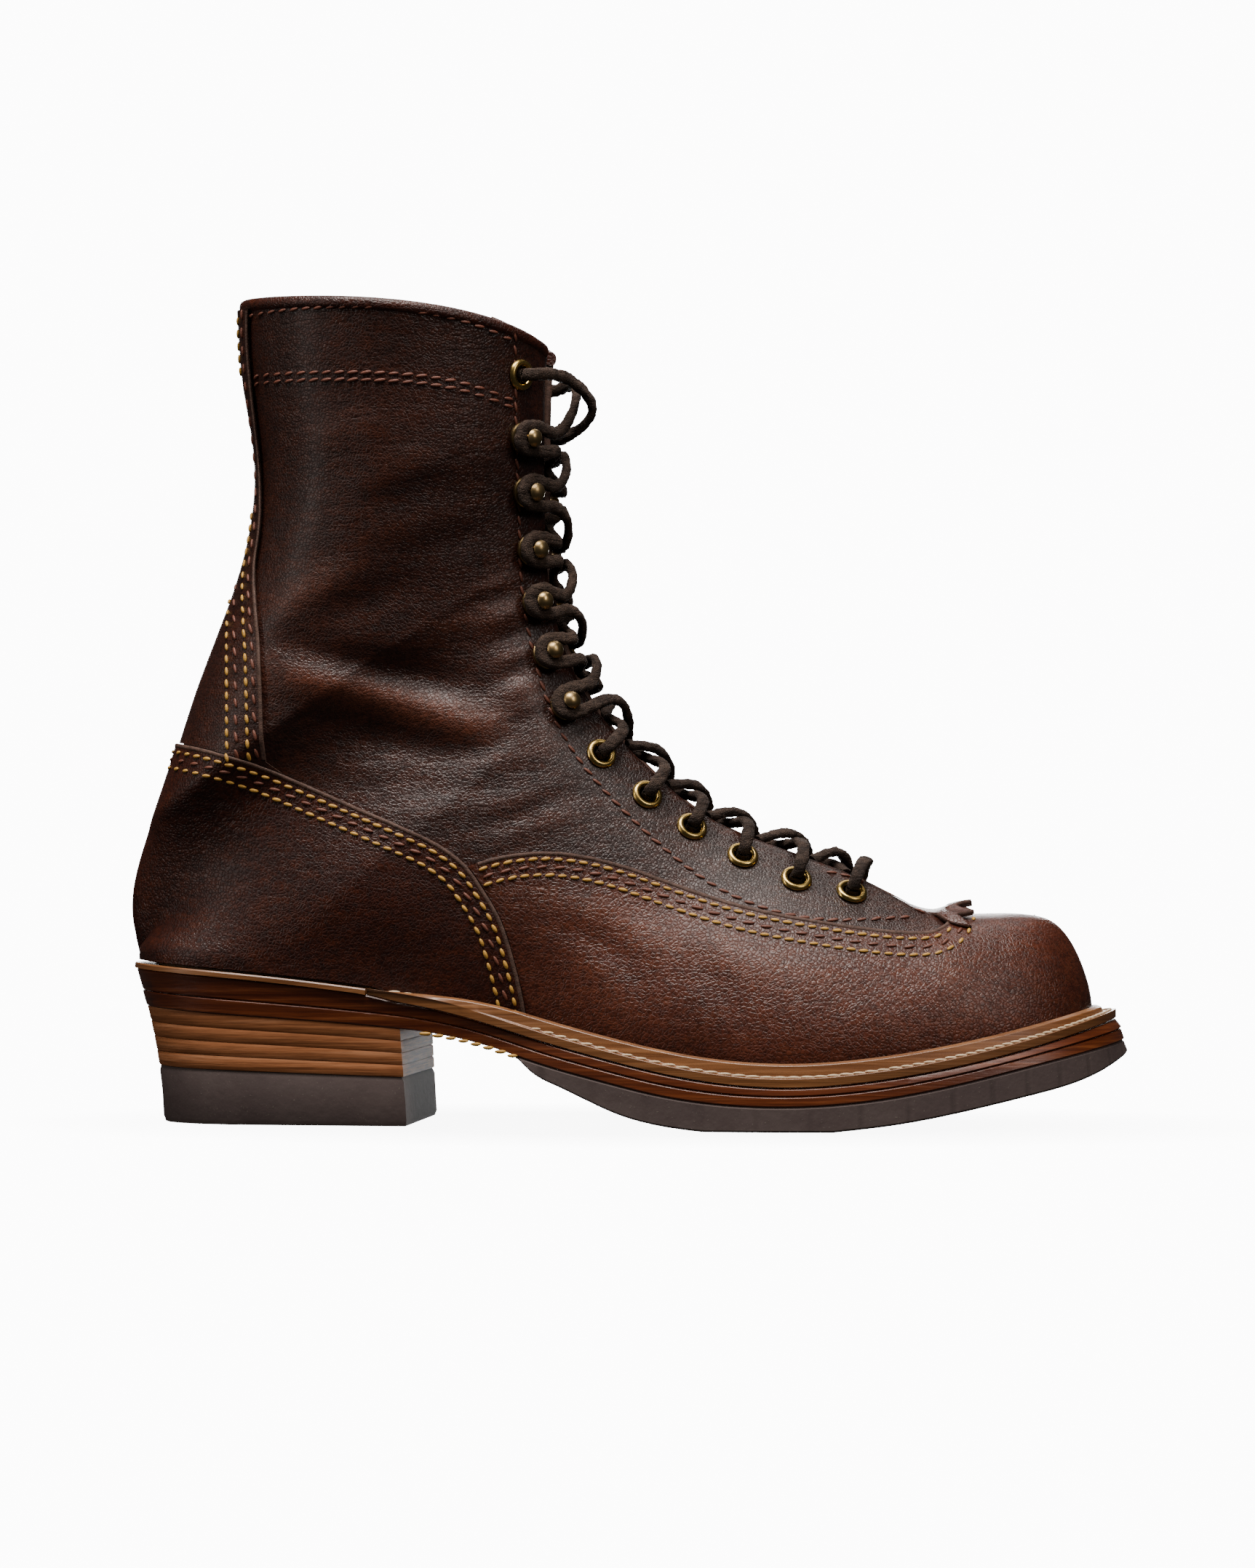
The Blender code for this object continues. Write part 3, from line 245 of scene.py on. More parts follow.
# Half-width of the tongue along the sections, as a share of BALL_WIDTH, and of the kiltie with its
# height over the upper in metres.
TONGUE_SPREAD = [
    (4.25, 0.140), (5.00, 0.200), (6.50, 0.220), (9.00, 0.240), (12.0, 0.270), (16.0, 0.290), (21.0, 0.300),
]
KILTIE = [
    (5.20, 0.075, -0.0044), (4.70, 0.085, -0.0036), (4.30, 0.115, -0.0014), (4.05, 0.155, 0.0012),
    (3.70, 0.190, 0.0032), (3.25, 0.200, 0.0042),
]
KILTIE_NOTCH = 0.0048

# Seen from the side, x as a share of FOOT_LENGTH from the heel and z as a share of RIM_HEIGHT.
COUNTER_EDGE = [
    (-0.060, 0.468), (0.028, 0.465), (0.120, 0.442), (0.199, 0.406), (0.299, 0.357), (0.337, 0.335),
    (0.361, 0.313), (0.380, 0.283), (0.399, 0.244), (0.413, 0.192), (0.423, 0.135), (0.428, 0.060),
]
VAMP_EDGE = [
    (0.300, 0.285), (0.366, 0.314), (0.404, 0.326), (0.442, 0.330), (0.484, 0.325), (0.522, 0.314),
    (0.559, 0.299), (0.634, 0.270), (0.709, 0.251), (0.784, 0.238), (0.836, 0.235), (0.853, 0.242),
    (0.861, 0.260), (0.862, 0.330),
]
BACKSTAY_EDGE = [
    (0.122, 1.020), (0.120, 0.980), (0.122, 0.900), (0.133, 0.749), (0.129, 0.678), (0.139, 0.590),
    (0.145, 0.482), (0.150, 0.380),
]

# Eyelets up the instep, the hooks above them and the top eyelet, seen from the side, as above.
EYELETS = [(0.757, 0.281), (0.6996, 0.2966), (0.643, 0.325), (0.589, 0.360), (0.542, 0.399), (0.494, 0.449)]
HOOKS = [(0.455, 0.507), (0.435, 0.570), (0.423, 0.634), (0.417, 0.698), (0.413, 0.768), (0.411, 0.833)]
TOP_EYELET = (0.411, 0.909)

# %% [markdown]
# ## Curves of the last
# A natural cubic joins the rows of each table, and a Bezier curve spans each section from the ridge
# to the base. These few functions answer the one question that every piece asks: where is the skin?

# %% Functions of the last
def smooth_line(points):
    """A natural cubic through rows of (place, value, value...), as a function of place."""
    rows = np.array(points, float)
    place, value = rows[:, 0], rows[:, 1:]
    step = np.diff(place)
    count = len(place)
    system = np.eye(count)
    right = np.zeros_like(value)
    for i in range(1, count - 1):
        system[i, i - 1 : i + 2] = step[i - 1], 2 * (step[i - 1] + step[i]), step[i]
        right[i] = 6 * ((value[i + 1] - value[i]) / step[i] - (value[i] - value[i - 1]) / step[i - 1])
    bend = np.linalg.solve(system, right)

    def at(x):
        k = int(np.clip(np.searchsorted(place, x) - 1, 0, count - 2))
        h, before, after = step[k], x - place[k], place[k + 1] - x
        return (
            (bend[k] * after**3 + bend[k + 1] * before**3) / (6 * h)
            + (value[k] / h - bend[k] * h / 6) * after
            + (value[k + 1] / h - bend[k + 1] * h / 6) * before
        )

    return at


def ease(x, start, end):
    """From 0 at start to 1 at end, level at both."""
    share = min(1.0, max(0.0, (x - start) / (end - start)))
    return share * share * (3 - 2 * share)


def round_share(along):
    """Turns a share of a length into an angle, so that a half-width through it ends round."""
    return math.acos(1 - 2 * min(1.0, max(0.0, along)))


print_line = smooth_line([(round_share(a), o, i) for a, o, i in FOOTPRINT])
margin_line = smooth_line(SOLE_MARGIN)
side_line = smooth_line(SOLE_SIDE)
tread_back_line = smooth_line(TREAD_BACK)
tread_front_line = smooth_line(TREAD_FRONT)
section_line = smooth_line([(k, *row) for k, row in enumerate(SECTIONS)])
back_line = smooth_line(BACK_LINE)


def foot_x(along):
    return FOOT_BACK + along * FOOT_LENGTH


def along_foot(x):
    return (x - FOOT_BACK) / FOOT_LENGTH


def swing(x):
    """How far the foot's middle line lies to the inner side."""
    return TOE_SWING * ease(along_foot(x), 0.30, 1.02)


def edge_top(x):
    return SEAT_HEIGHT * side_line(along_foot(x))[0]


def leather_low(x):
    return SEAT_HEIGHT * side_line(along_foot(x))[1]


def mid_line(x):
    """Between the midsole and the leather outsole."""
    return edge_top(x) - MID_LINE_SHARE * (edge_top(x) - leather_low(x))


def strip_thickness(x):
    """The rand under the heel seat, the welt in front of it."""
    return RAND_THICKNESS + (WELT_THICKNESS - RAND_THICKNESS) * ease(x, WELT_END - 0.004, WELT_END + 0.012)


def midsole_top(x):
    return edge_top(x) - strip_thickness(x) - GAP


def upper_base(x):
    """The upper stands on the rand at the heel, and on the midsole inside the welt."""
    return edge_top(x) + 2 * GAP - (WELT_THICKNESS + GAP) * ease(x, WELT_END, WELT_END + 0.016)


def tread_low(x):
    """Underside of the rubber, level between the two ends of its flat."""
    if TREAD_FLAT_BACK <= x <= TREAD_FLAT_FRONT:
        return 0.0
    line = tread_back_line if x < TREAD_FLAT_BACK else tread_front_line
    return max(0.0, SEAT_HEIGHT * line(along_foot(x))[0])


def print_point(turn, side, out=0.0):
    """A point of the foot's print in plan, moved outwards. turn is pi at the toe and 0 at the back."""

    def bare(angle):
        along = (1 - math.cos(angle)) / 2
        half = BALL_WIDTH * print_line(abs(angle))[0 if side < 0 else 1]
        x = foot_x(along)
        return np.array([x, swing(x) + side * half])

    here = bare(turn)
    step = 0.004
    ahead = bare(min(math.pi, turn + step))
    behind = bare(max(0.0, turn - step))
    tangent = ahead - behind
    if turn > math.pi - step / 2:
        tangent = np.array([0.0, -side])
    if turn < step / 2:
        tangent = np.array([0.0, side])
    normal = np.array([-tangent[1], tangent[0]]) * side
    normal /= np.linalg.norm(normal)
    return here + normal * out, normal, tangent / np.linalg.norm(tangent)


def sole_margin(turn):
    return BALL_WIDTH * margin_line((1 - math.cos(turn)) / 2)[0]


def base_point(base, side):
    """The lower end of a section, on the print and then up the back line, with the ways out and along."""
    if base >= 0:
        plan, normal, tangent = print_point(base * math.pi, side)
        place = np.array([plan[0], plan[1], upper_base(plan[0])])
        return place, np.array([*normal, 0.0]), np.array([*tangent, 0.0])
    low = upper_base(foot_x(0.0))
    x = foot_x(back_line(-base)[0])
    place = np.array([x, 0.0, low + (RIM_HEIGHT - low) * -base])
    return place, np.array([-1.0, 0.0, 0.0]), np.array([0.0, side, 0.0])


def section_controls(k, side):
    """The six points that steer the section's curve, ridge to base."""
    ridge_x, ridge_z, base, aim, brow, high, low, set_down, out, along, rise, lift = section_line(k)
    top = np.array([foot_x(ridge_x), swing(foot_x(ridge_x)), RIM_HEIGHT * ridge_z])
    if abs(k - CORNER_SECTION) < 1e-9:
        base = 0.0
    foot, normal, tangent = base_point(base, side)
    tangent[2] = tangent[0] * (top[2] - foot[2]) / max(0.01, top[0] - foot[0])
    aim = math.radians(min(90.0, max(0.0, aim)))
    away = np.array([math.cos(aim), side * math.sin(aim), 0.0])
    up = np.array([0.0, 0.0, 1.0])
    width = BALL_WIDTH
    rim = ease(k, LAST_SECTION - 2.0, LAST_SECTION)
    chord = foot - top
    chord[1] *= 1 - ease(k, *FROM_THE_RIDGE)
    return np.array([
        top,
        top + (away * brow + up * 0.57 * lift * rim) * width,
        top + chord * 0.30 + (away * high + up * lift) * width,
        top + chord * set_down + (away * low + up * lift * (1 - rim)) * width,
        foot + (normal * out + tangent * along + up * rise) * width,
        foot,
    ])


def curve_point(controls, t):
    points = controls
    while len(points) > 1:
        points = points[:-1] + (points[1:] - points[:-1]) * t
    return points[0]


def share_where(controls, reached):
    """The first share of the curve at which reached() holds, found by halving."""
    low, high = 0.0, 1.0
    for _ in range(30):
        middle = (low + high) / 2
        if reached(curve_point(controls, middle)):
            high = middle
        else:
            low = middle
    return high


def throat_half(k):
    if k <= THROAT_SECTION:
        return 0.0
    return BALL_WIDTH * float(np.interp(k, *zip(*THROAT)))


def turns(start, end, count):
    return [start + (end - start) * i / count for i in range(count + 1)]


def turn_at(x):
    return round_share(along_foot(x))


def heel_tuck(turn, z):
    """How far the heel's side has drawn in at a height, most of all at the back."""
    depth = min(1.0, max(0.0, 1 - z / SEAT_HEIGHT))
    back = 1 - ease(turn, 0.0, 0.75)
    most = HEEL_TUCK_SIDE + (HEEL_TUCK_BACK - HEEL_TUCK_SIDE) * back
    return most * (1 - (1 - depth) ** 1.75) * (1 - ease(turn, turn_at(HEEL_BREAST), 1.55))


def side_reach(depth, height):
    """How far a sole layer reaches at a height. depth is 0 at the welt and 1 at the tread."""

    def reach(turn):
        flare = TOE_FLARE * depth * (0.15 + 0.85 * ease(turn, 2.0, math.pi))
        return sole_margin(turn) + flare - heel_tuck(turn, height(foot_x((1 - math.cos(turn)) / 2)))

    return reach


def overlay_thickness(x):
    """What lies on the upper near its base: the counter, then the vamp."""
    share = ease(x, COUNTER_FRONT, COUNTER_FRONT + 0.01)
    return COUNTER_THICKNESS + (VAMP_THICKNESS - COUNTER_THICKNESS) * share


def welt_ring(k, side):
    """Cross-cut of the welt at one section: a flat flange, and a lip that stands up by the upper."""
    controls = section_controls(k, side)
    foot, normal, _ = base_point(section_line(k)[2], side)
    x = foot[0]
    lip_top = edge_top(x) + LIP_HEIGHT * ease(x, WELT_END - 0.002, WELT_END + 0.05)
    wall = curve_point(controls, share_where(controls, lambda p: p[2] <= lip_top))
    cover = overlay_thickness(x) + 3.5 * GAP
    reach = float(np.dot(wall - foot, normal)) + cover + GAP
    outer = sole_margin(section_line(k)[2] * math.pi)
    lip = max(reach, cover) + LIP_THICKNESS
    profile = [
        (cover, lambda at: midsole_top(at) + 1.5 * GAP),
        (outer, lambda at: midsole_top(at) + 1.5 * GAP),
        (outer, edge_top),
        (lip, lambda at: edge_top(at) + GAP),
        (reach + LIP_THICKNESS * 0.75, lambda at: lip_top - LIP_THICKNESS * 0.3),
        (reach, lambda at: lip_top),
    ]
    places = [(foot + normal * d, height) for d, height in profile]
    return [(p[0], p[1], height(p[0])) for p, height in places]


def section_at_base(x):
    """The section whose base lies at this x on the print."""
    low, high = 0.0, CORNER_SECTION
    for _ in range(30):
        middle = (low + high) / 2
        along = (1 - math.cos(section_line(middle)[2] * math.pi)) / 2
        if foot_x(along) > x:
            low = middle
        else:
            high = middle
    return low


def round_the_heel(x, count):
    """(side, turn) from the outer side at x round the back to the inner side."""
    last = turn_at(x)
    outer_run = [(-1, turn) for turn in turns(last, 0.0, count)]
    return outer_run + [(1, turn) for turn in turns(0.0, last, count)[1:]]


def cap_top(x):
    share = (x + HEEL_BREAST) / HEEL_BASE_LENGTH
    return HEEL_CAP_BACK + (HEEL_CAP_FRONT - HEEL_CAP_BACK) * share


print("toe tip of the print", print_point(math.pi, 1)[0])

# %% [markdown]
# ## Shader helpers
# A material is a small graph. Two helpers keep each graph readable: one adds a node and sets its
# sockets, the other makes a named group with its own inputs and outputs.


# %% Node helpers
def set_sockets(node, values):
    """Gives a node's sockets their values, or links them where the value is another node's socket."""
    for key, value in values.items():
        if isinstance(value, bpy.types.NodeSocket):
            node.id_data.links.new(value, node.inputs[key])
        else:
            node.inputs[key].default_value = value


def add_node(tree, kind, inputs=None, **settings):
    node = tree.nodes.new(kind)
    for key, value in settings.items():
        setattr(node, key, value)
    set_sockets(node, inputs or {})
    return node


def new_material(name):
    """A material with its graph and its Principled shader."""
    made = bpy.data.materials.new(name)
    made.use_nodes = True
    return made, made.node_tree, made.node_tree.nodes["Principled BSDF"]


def new_group(name, inputs, outputs):
    group = bpy.data.node_groups.new(name, "ShaderNodeTree")
    for label, kind, value in inputs:
        socket = group.interface.new_socket(label, in_out="INPUT", socket_type=kind)
        socket.default_value = value
    for label, kind in outputs:
        group.interface.new_socket(label, in_out="OUTPUT", socket_type=kind)
    return group, group.nodes.new("NodeGroupInput"), group.nodes.new("NodeGroupOutput")


def math_node(tree, operation, a, b=0.0, clamp=False):
    node = add_node(tree, "ShaderNodeMath", {0: a, 1: b}, operation=operation, use_clamp=clamp)
    return node.outputs[0]


def noise(tree, place, scale, detail=3.0, roughness=0.55, distortion=0.0):
    node = add_node(tree, "ShaderNodeTexNoise", {
        "Vector": place, "Scale": scale, "Detail": detail, "Roughness": roughness, "Distortion": distortion,
    })
    return node.outputs["Fac"]


def ramp(tree, factor, stops):
    """A colour ramp from (place, grey or colour) stops."""
    node = add_node(tree, "ShaderNodeValToRGB", {"Fac": factor})
    while len(node.color_ramp.elements) < len(stops):
        node.color_ramp.elements.new(0.5)
    for element, (place, value) in zip(node.color_ramp.elements, stops):
        element.position = place
        element.color = (value, value, value, 1.0) if isinstance(value, float) else (*value, 1.0)
    return node.outputs["Color"]


def mix_colour(tree, factor, a, b):
    node = add_node(tree, "ShaderNodeMix", data_type="RGBA")
    for index, value in ((0, factor), (6, a), (7, b)):
        if isinstance(value, bpy.types.NodeSocket):
            tree.links.new(value, node.inputs[index])
        elif index == 0:
            node.inputs[0].default_value = value
        else:
            node.inputs[index].default_value = (*value, 1.0)
    return node.outputs[2]


def object_place(tree):
    return add_node(tree, "ShaderNodeTexCoord").outputs["Object"]


def stretched(tree, scale, rotation=(0.0, 0.0, 0.0)):
    """Object coordinates, stretched and turned, for grain that runs one way."""
    inputs = {"Vector": object_place(tree), "Rotation": rotation, "Scale": scale}
    return add_node(tree, "ShaderNodeMapping", inputs).outputs["Vector"]


def between(tree, value, low, high):
    """Maps 0 to 1 onto low to high."""
    return add_node(tree, "ShaderNodeMapRange", {"Value": value, "To Min": low, "To Max": high}).outputs[0]


def bumped(tree, height, strength, distance):
    inputs = {"Height": height, "Strength": strength, "Distance": distance}
    return add_node(tree, "ShaderNodeBump", inputs).outputs[0]


# %% [markdown]
# ## Camera, floor and light
# The boot stands before lit paper and is seen from its outer side, turned a little. A long lens keeps
# the sole and the collar level. A soft box overhead, a strip at each side and one behind give the
# leather the long highlights that show its form.

# %% Camera
VIEW_CENTRE = Vector((0.103, 0.0, 0.103))
VIEW_TURN = math.radians(6.0)
VIEW_PITCH = math.radians(1.24)
VIEW_DISTANCE = 1.25
PHOTO_HEIGHT_PX = 2156
FOCAL_PX = 5625
SENSOR_MM = 36.0

level = math.cos(VIEW_PITCH)
away = Vector((math.sin(VIEW_TURN) * level, -math.cos(VIEW_TURN) * level, -math.sin(VIEW_PITCH)))
right = Vector((0, 0, 1)).cross(away).normalized()
camera_data = bpy.data.cameras.new("view")
camera_data.sensor_fit = "VERTICAL"
camera_data.sensor_height = SENSOR_MM
camera_data.lens = SENSOR_MM * FOCAL_PX / PHOTO_HEIGHT_PX
camera = bpy.data.objects.new("view", camera_data)
bpy.context.scene.collection.objects.link(camera)
camera.matrix_world = Matrix((right, away.cross(right), away)).transposed().to_4x4()
camera.location = VIEW_CENTRE + away * VIEW_DISTANCE
bpy.context.scene.camera = camera
print("lens", round(camera_data.lens, 1), "mm at", tuple(round(c, 3) for c in camera.location))


# %% Floor and lamps
PAPER_GLOW = 12.0
PAPER_SIZE = (1.75, 2.15)
PAPER_PLACE = (-0.233, 3.2, 0.17)
ROOM_GLOW = 0.03
LAMP_COLOUR = (1.0, 0.91, 0.86)


def sheet_object(name, size, place, turn, material):
    bm = bmesh.new()
    bmesh.ops.create_grid(bm, x_segments=1, y_segments=1, size=1.0)
    bmesh.ops.scale(bm, verts=bm.verts, vec=(size[0] / 2, size[1] / 2, 1.0))
    mesh = bpy.data.meshes.new(name)
    bm.to_mesh(mesh)
    bm.free()
    mesh.materials.append(material)
    obj = bpy.data.objects.new(name, mesh)
    obj.location = place
    obj.rotation_euler = turn
    bpy.context.scene.collection.objects.link(obj)
    obj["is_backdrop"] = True


# The paper behind the boot is lit evenly and reaches below it. The floor is clear but for a painted shadow: a grey
# oval under the boot that fades to clear towards its rim.
paper, _, shader = new_material("lit_paper")
set_sockets(shader, {
    "Base Color": (0.9, 0.9, 0.9, 1.0),
    "Emission Color": (1.0, 1.0, 1.0, 1.0), "Emission Strength": PAPER_GLOW,
})
sheet_object("paper", PAPER_SIZE, PAPER_PLACE, (math.radians(90), 0, VIEW_TURN), paper)

clear, tree, shader = new_material("painted_shadow_floor")
# Painted shadow: the floor's grey shows only in this oval under the boot, and it fades out towards the oval's rim.
painted_shadow_oval = add_node(tree, "ShaderNodeMapping", {
    "Vector": object_place(tree), "Location": (-0.62, 0.0, 0.0), "Scale": (5.6, 10.0, 1.0),
})
away_from = add_node(tree, "ShaderNodeVectorMath", {0: painted_shadow_oval.outputs[0]}, operation="LENGTH")
painted_shadow_fade = add_node(tree, "ShaderNodeMapRange", {
    "Value": away_from.outputs["Value"], "From Min": 0.55, "From Max": 1.15, "To Min": 0.30, "To Max": 0.0,
})
set_sockets(shader, {
    "Base Color": (0.25, 0.24, 0.24, 1.0), "Roughness": 1.0,
    "Specular IOR Level": 0.0, "Alpha": painted_shadow_fade.outputs[0],
})
sheet_object("floor", (1.4, 0.8), (0.0, 0.0, -0.0005), (0, 0, 0), clear)

world = bpy.data.worlds.new("dim_room")
bpy.context.scene.world = world
world.use_nodes = True
set_sockets(world.node_tree.nodes["Background"], {"Color": (1.0, 1.0, 1.0, 1.0), "Strength": ROOM_GLOW})

# name, place, what it points at, width, height, watts
LAMPS = [
    ("overhead", (0.00, -0.28, 1.00), (0.08, 0.0, 0.08), 0.75, 0.45, 20.0),
    ("left_strip", (-0.90, -0.55, 0.45), (0.0, 0.0, 0.12), 0.20, 0.80, 2.5),
    ("right_strip", (0.90, -0.70, 0.75), (0.12, 0.0, 0.08), 0.25, 0.60, 4.0),
    ("behind", (0.10, 0.60, 1.00), (0.10, 0.0, 0.10), 0.80, 0.40, 4.0),
]
for name, place, aim_at, width, height, watts in LAMPS:
    lamp_data = bpy.data.lights.new(name, "AREA")
    lamp_data.shape = "RECTANGLE"
    lamp_data.size = width
    lamp_data.size_y = height
    lamp_data.energy = watts
    lamp_data.color = LAMP_COLOUR
    lamp = bpy.data.objects.new(name, lamp_data)
    lamp.location = place
    lamp.rotation_euler = (Vector(aim_at) - Vector(place)).to_track_quat("-Z", "Y").to_euler()
    bpy.context.scene.collection.objects.link(lamp)
print("lamps:", [row[0] for row in LAMPS])

# %% [markdown]
# ## Grain and handling
# Oiled leather has a fine pebbled grain with shallow wrinkles that run across the bends. Where it is
# pulled or rubbed the oil moves and the colour lifts. One group makes the height of the grain, and a
# second one makes the cloudy colour. Every leather here uses both with its own values.

# %% Leather groups
grain_group, grain_in, grain_out = new_group(
    "leather_grain",
    [("Cells", "NodeSocketFloat", 900.0), ("Wrinkles", "NodeSocketFloat", 0.4)],
    [("Height", "NodeSocketFloat")],
)
here = object_place(grain_group)
warp = add_node(grain_group, "ShaderNodeTexNoise", {"Vector": here, "Scale": 260.0, "Detail": 2.0})
shift = {0: warp.outputs["Color"], 1: (0.0016,) * 3}
shift = add_node(grain_group, "ShaderNodeVectorMath", shift, operation="MULTIPLY").outputs[0]
bent = add_node(grain_group, "ShaderNodeVectorMath", {0: here, 1: shift}, operation="ADD").outputs[0]
cells = {"Vector": bent, "Scale": grain_in.outputs["Cells"]}
cells = add_node(grain_group, "ShaderNodeTexVoronoi", cells, feature="DISTANCE_TO_EDGE")
pebble = ramp(grain_group, cells.outputs["Distance"], [(0.0, 0.0), (0.18, 0.75), (0.5, 1.0)])
pebble = math_node(grain_group, "MULTIPLY", pebble, 0.55)
lines_place = stretched(grain_group, (45.0, 45.0, 260.0), (0.0, 0.45, 0.0))
lines = noise(grain_group, lines_place, 1.6, 4.0, 0.6, 0.6)
lines = ramp(grain_group, lines, [(0.30, 0.0), (0.52, 1.0)])
folds = math_node(grain_group, "MULTIPLY", lines, grain_in.outputs["Wrinkles"])
soft = math_node(grain_group, "MULTIPLY", noise(grain_group, here, 140.0, 3.0), 0.6)
total = math_node(grain_group, "ADD", math_node(grain_group, "ADD", pebble, folds), soft)
grain_group.links.new(total, grain_out.inputs["Height"])

cloud_group, cloud_in, cloud_out = new_group(
    "pulled_up_colour",
    [
        ("Deep", "NodeSocketColor", (0.03, 0.01, 0.006, 1.0)),
        ("Body", "NodeSocketColor", (0.07, 0.025, 0.014, 1.0)),
        ("Rubbed", "NodeSocketColor", (0.16, 0.065, 0.035, 1.0)),
    ],
    [("Colour", "NodeSocketColor"), ("Gloss", "NodeSocketFloat")],
)
here = object_place(cloud_group)
worn = add_node(cloud_group, "ShaderNodeAttribute", attribute_name="handled").outputs["Fac"]
broad = noise(cloud_group, here, 16.0, 5.0, 0.62, 0.4)
fine = noise(cloud_group, stretched(cloud_group, (60.0, 60.0, 150.0), (0.0, 0.5, 0.0)), 2.2, 5.0, 0.65)
speck = noise(cloud_group, here, 700.0, 2.0)
patch = ramp(cloud_group, broad, [(0.36, 0.0), (0.66, 1.0)])
deep = mix_colour(cloud_group, patch, cloud_in.outputs["Deep"], cloud_in.outputs["Body"])
streaks = math_node(cloud_group, "MULTIPLY", ramp(cloud_group, fine, [(0.45, 0.0), (0.75, 1.0)]), 0.40)
lift = math_node(cloud_group, "ADD", streaks, worn, True)
pulled = mix_colour(cloud_group, lift, deep, cloud_in.outputs["Rubbed"])
speck = ramp(cloud_group, speck, [(0.35, 0.55), (0.6, 1.0)])
speckled = mix_colour(cloud_group, speck, (0.0, 0.0, 0.0), pulled)
cloud_group.links.new(speckled, cloud_out.inputs["Colour"])
cloud_group.links.new(ramp(cloud_group, fine, [(0.3, 0.0), (0.8, 1.0)]), cloud_out.inputs["Gloss"])
print("groups:", [g.name for g in bpy.data.node_groups])


# %% [markdown]
# ## Leather, thread and metal
# Each finish below is a Principled shader with its own numbers, fed by the shared groups. The
# roughness varies with the handling, so that highlights break up as they do on real hide.

# %% Leather finishes
def leather(name, deep, body, rubbed, rough, cells=950.0, wrinkles=0.45, bump=0.45, coat=0.12):
    """Three colours, then the roughness where it shines and where it is dull."""
    made, tree, shader = new_material(name)
    cloud = add_node(tree, "ShaderNodeGroup", node_tree=cloud_group)
    set_sockets(cloud, {"Deep": (*deep, 1.0), "Body": (*body, 1.0), "Rubbed": (*rubbed, 1.0)})
    grain = add_node(tree, "ShaderNodeGroup", node_tree=grain_group)
    set_sockets(grain, {"Cells": cells, "Wrinkles": wrinkles})
    set_sockets(shader, {
        "Base Color": cloud.outputs["Colour"],
        "Roughness": between(tree, cloud.outputs["Gloss"], rough[1], rough[0]),
        "Normal": bumped(tree, grain.outputs["Height"], bump, 0.0005),
        "Coat Weight": coat, "Coat Roughness": 0.30, "Specular IOR Level": 0.36,
    })
    return made


shaft_leather = leather(
    "shaft_leather", (0.015, 0.0042, 0.0024), (0.036, 0.0098, 0.0054), (0.100, 0.031, 0.016), (0.28, 0.46),
)
vamp_leather = leather(
    "vamp_leather", (0.042, 0.0098, 0.0046), (0.082, 0.0200, 0.0092), (0.160, 0.050, 0.023),
    (0.28, 0.42), cells=850.0, wrinkles=0.30, coat=0.08,
)
counter_leather = leather(
    "counter_leather", (0.022, 0.0042, 0.0018), (0.045, 0.0092, 0.0038), (0.115, 0.031, 0.013),
    (0.30, 0.46), cells=880.0, wrinkles=0.35, coat=0.06,
)
tongue_leather = leather(
    "tongue_leather", (0.045, 0.0150, 0.0095), (0.070, 0.024, 0.015), (0.130, 0.050, 0.030),
    (0.38, 0.55), cells=900.0, wrinkles=0.40,
)
inside_leather = leather(
    "inside_leather", (0.16, 0.075, 0.035), (0.24, 0.12, 0.06), (0.32, 0.17, 0.09),
    (0.60, 0.80), cells=900.0, wrinkles=0.20, bump=0.30, coat=0.0,
)
cut_edge = leather(
    "cut_edge", (0.070, 0.035, 0.024), (0.105, 0.058, 0.042), (0.150, 0.090, 0.068),
    (0.55, 0.75), cells=1500.0, wrinkles=0.2, bump=0.30, coat=0.0,
)
rawhide = leather(
    "rawhide_lace", (0.028, 0.0165, 0.0110), (0.062, 0.038, 0.026), (0.160, 0.105, 0.074),
    (0.75, 0.95), cells=1500.0, wrinkles=1.2, bump=1.0, coat=0.0,
)
print("leathers:", [m.name for m in bpy.data.materials if m.name.count("_")])


# %% [markdown]
# ## Edges of the sole
# The edge of a leather sole is burnished: the layers are pressed, dyed and waxed, and fine fibres
# still run along them. The heel is a stack of thicker lifts with the same long streaks. Rubber is
# matt and grey-brown, with a dusty bloom.

# %% Sole finishes
def burnished(name, dark, body, bright, rough, layers, streaks=1.0, coat=0.35, specular=0.5):
    """Layered leather seen from its edge. layers is how many bands there are to a metre of height."""
    made, tree, shader = new_material(name)
    streak = noise(tree, stretched(tree, (14.0, 14.0, 520.0)), 1.5, 6.0, 0.62, 0.3)
    fibre = noise(tree, stretched(tree, (90.0, 90.0, 1600.0)), 1.0, 3.0, 0.6)
    bands = noise(tree, stretched(tree, (3.0, 3.0, layers)), 1.0, 1.0, 0.4)
    base = ramp(tree, streak, [(0.30, dark), (0.52, body), (0.76, bright)])
    bands = math_node(tree, "MULTIPLY", ramp(tree, bands, [(0.35, 1.0), (0.60, 0.0)]), 0.45)
    banded = mix_colour(tree, bands, base, dark)
    fine_streaks = ramp(tree, fibre, [(0.36, 0.45 * streaks), (0.52, 0.0)])
    height = math_node(tree, "ADD", streak, math_node(tree, "MULTIPLY", fibre, 0.6))
    set_sockets(shader, {
        "Base Color": mix_colour(tree, fine_streaks, banded, dark),
        "Roughness": between(tree, streak, *rough),
        "Normal": bumped(tree, height, 0.35, 0.0004),
        "Coat Weight": coat, "Coat Roughness": 0.25, "Specular IOR Level": specular,
    })
    return made


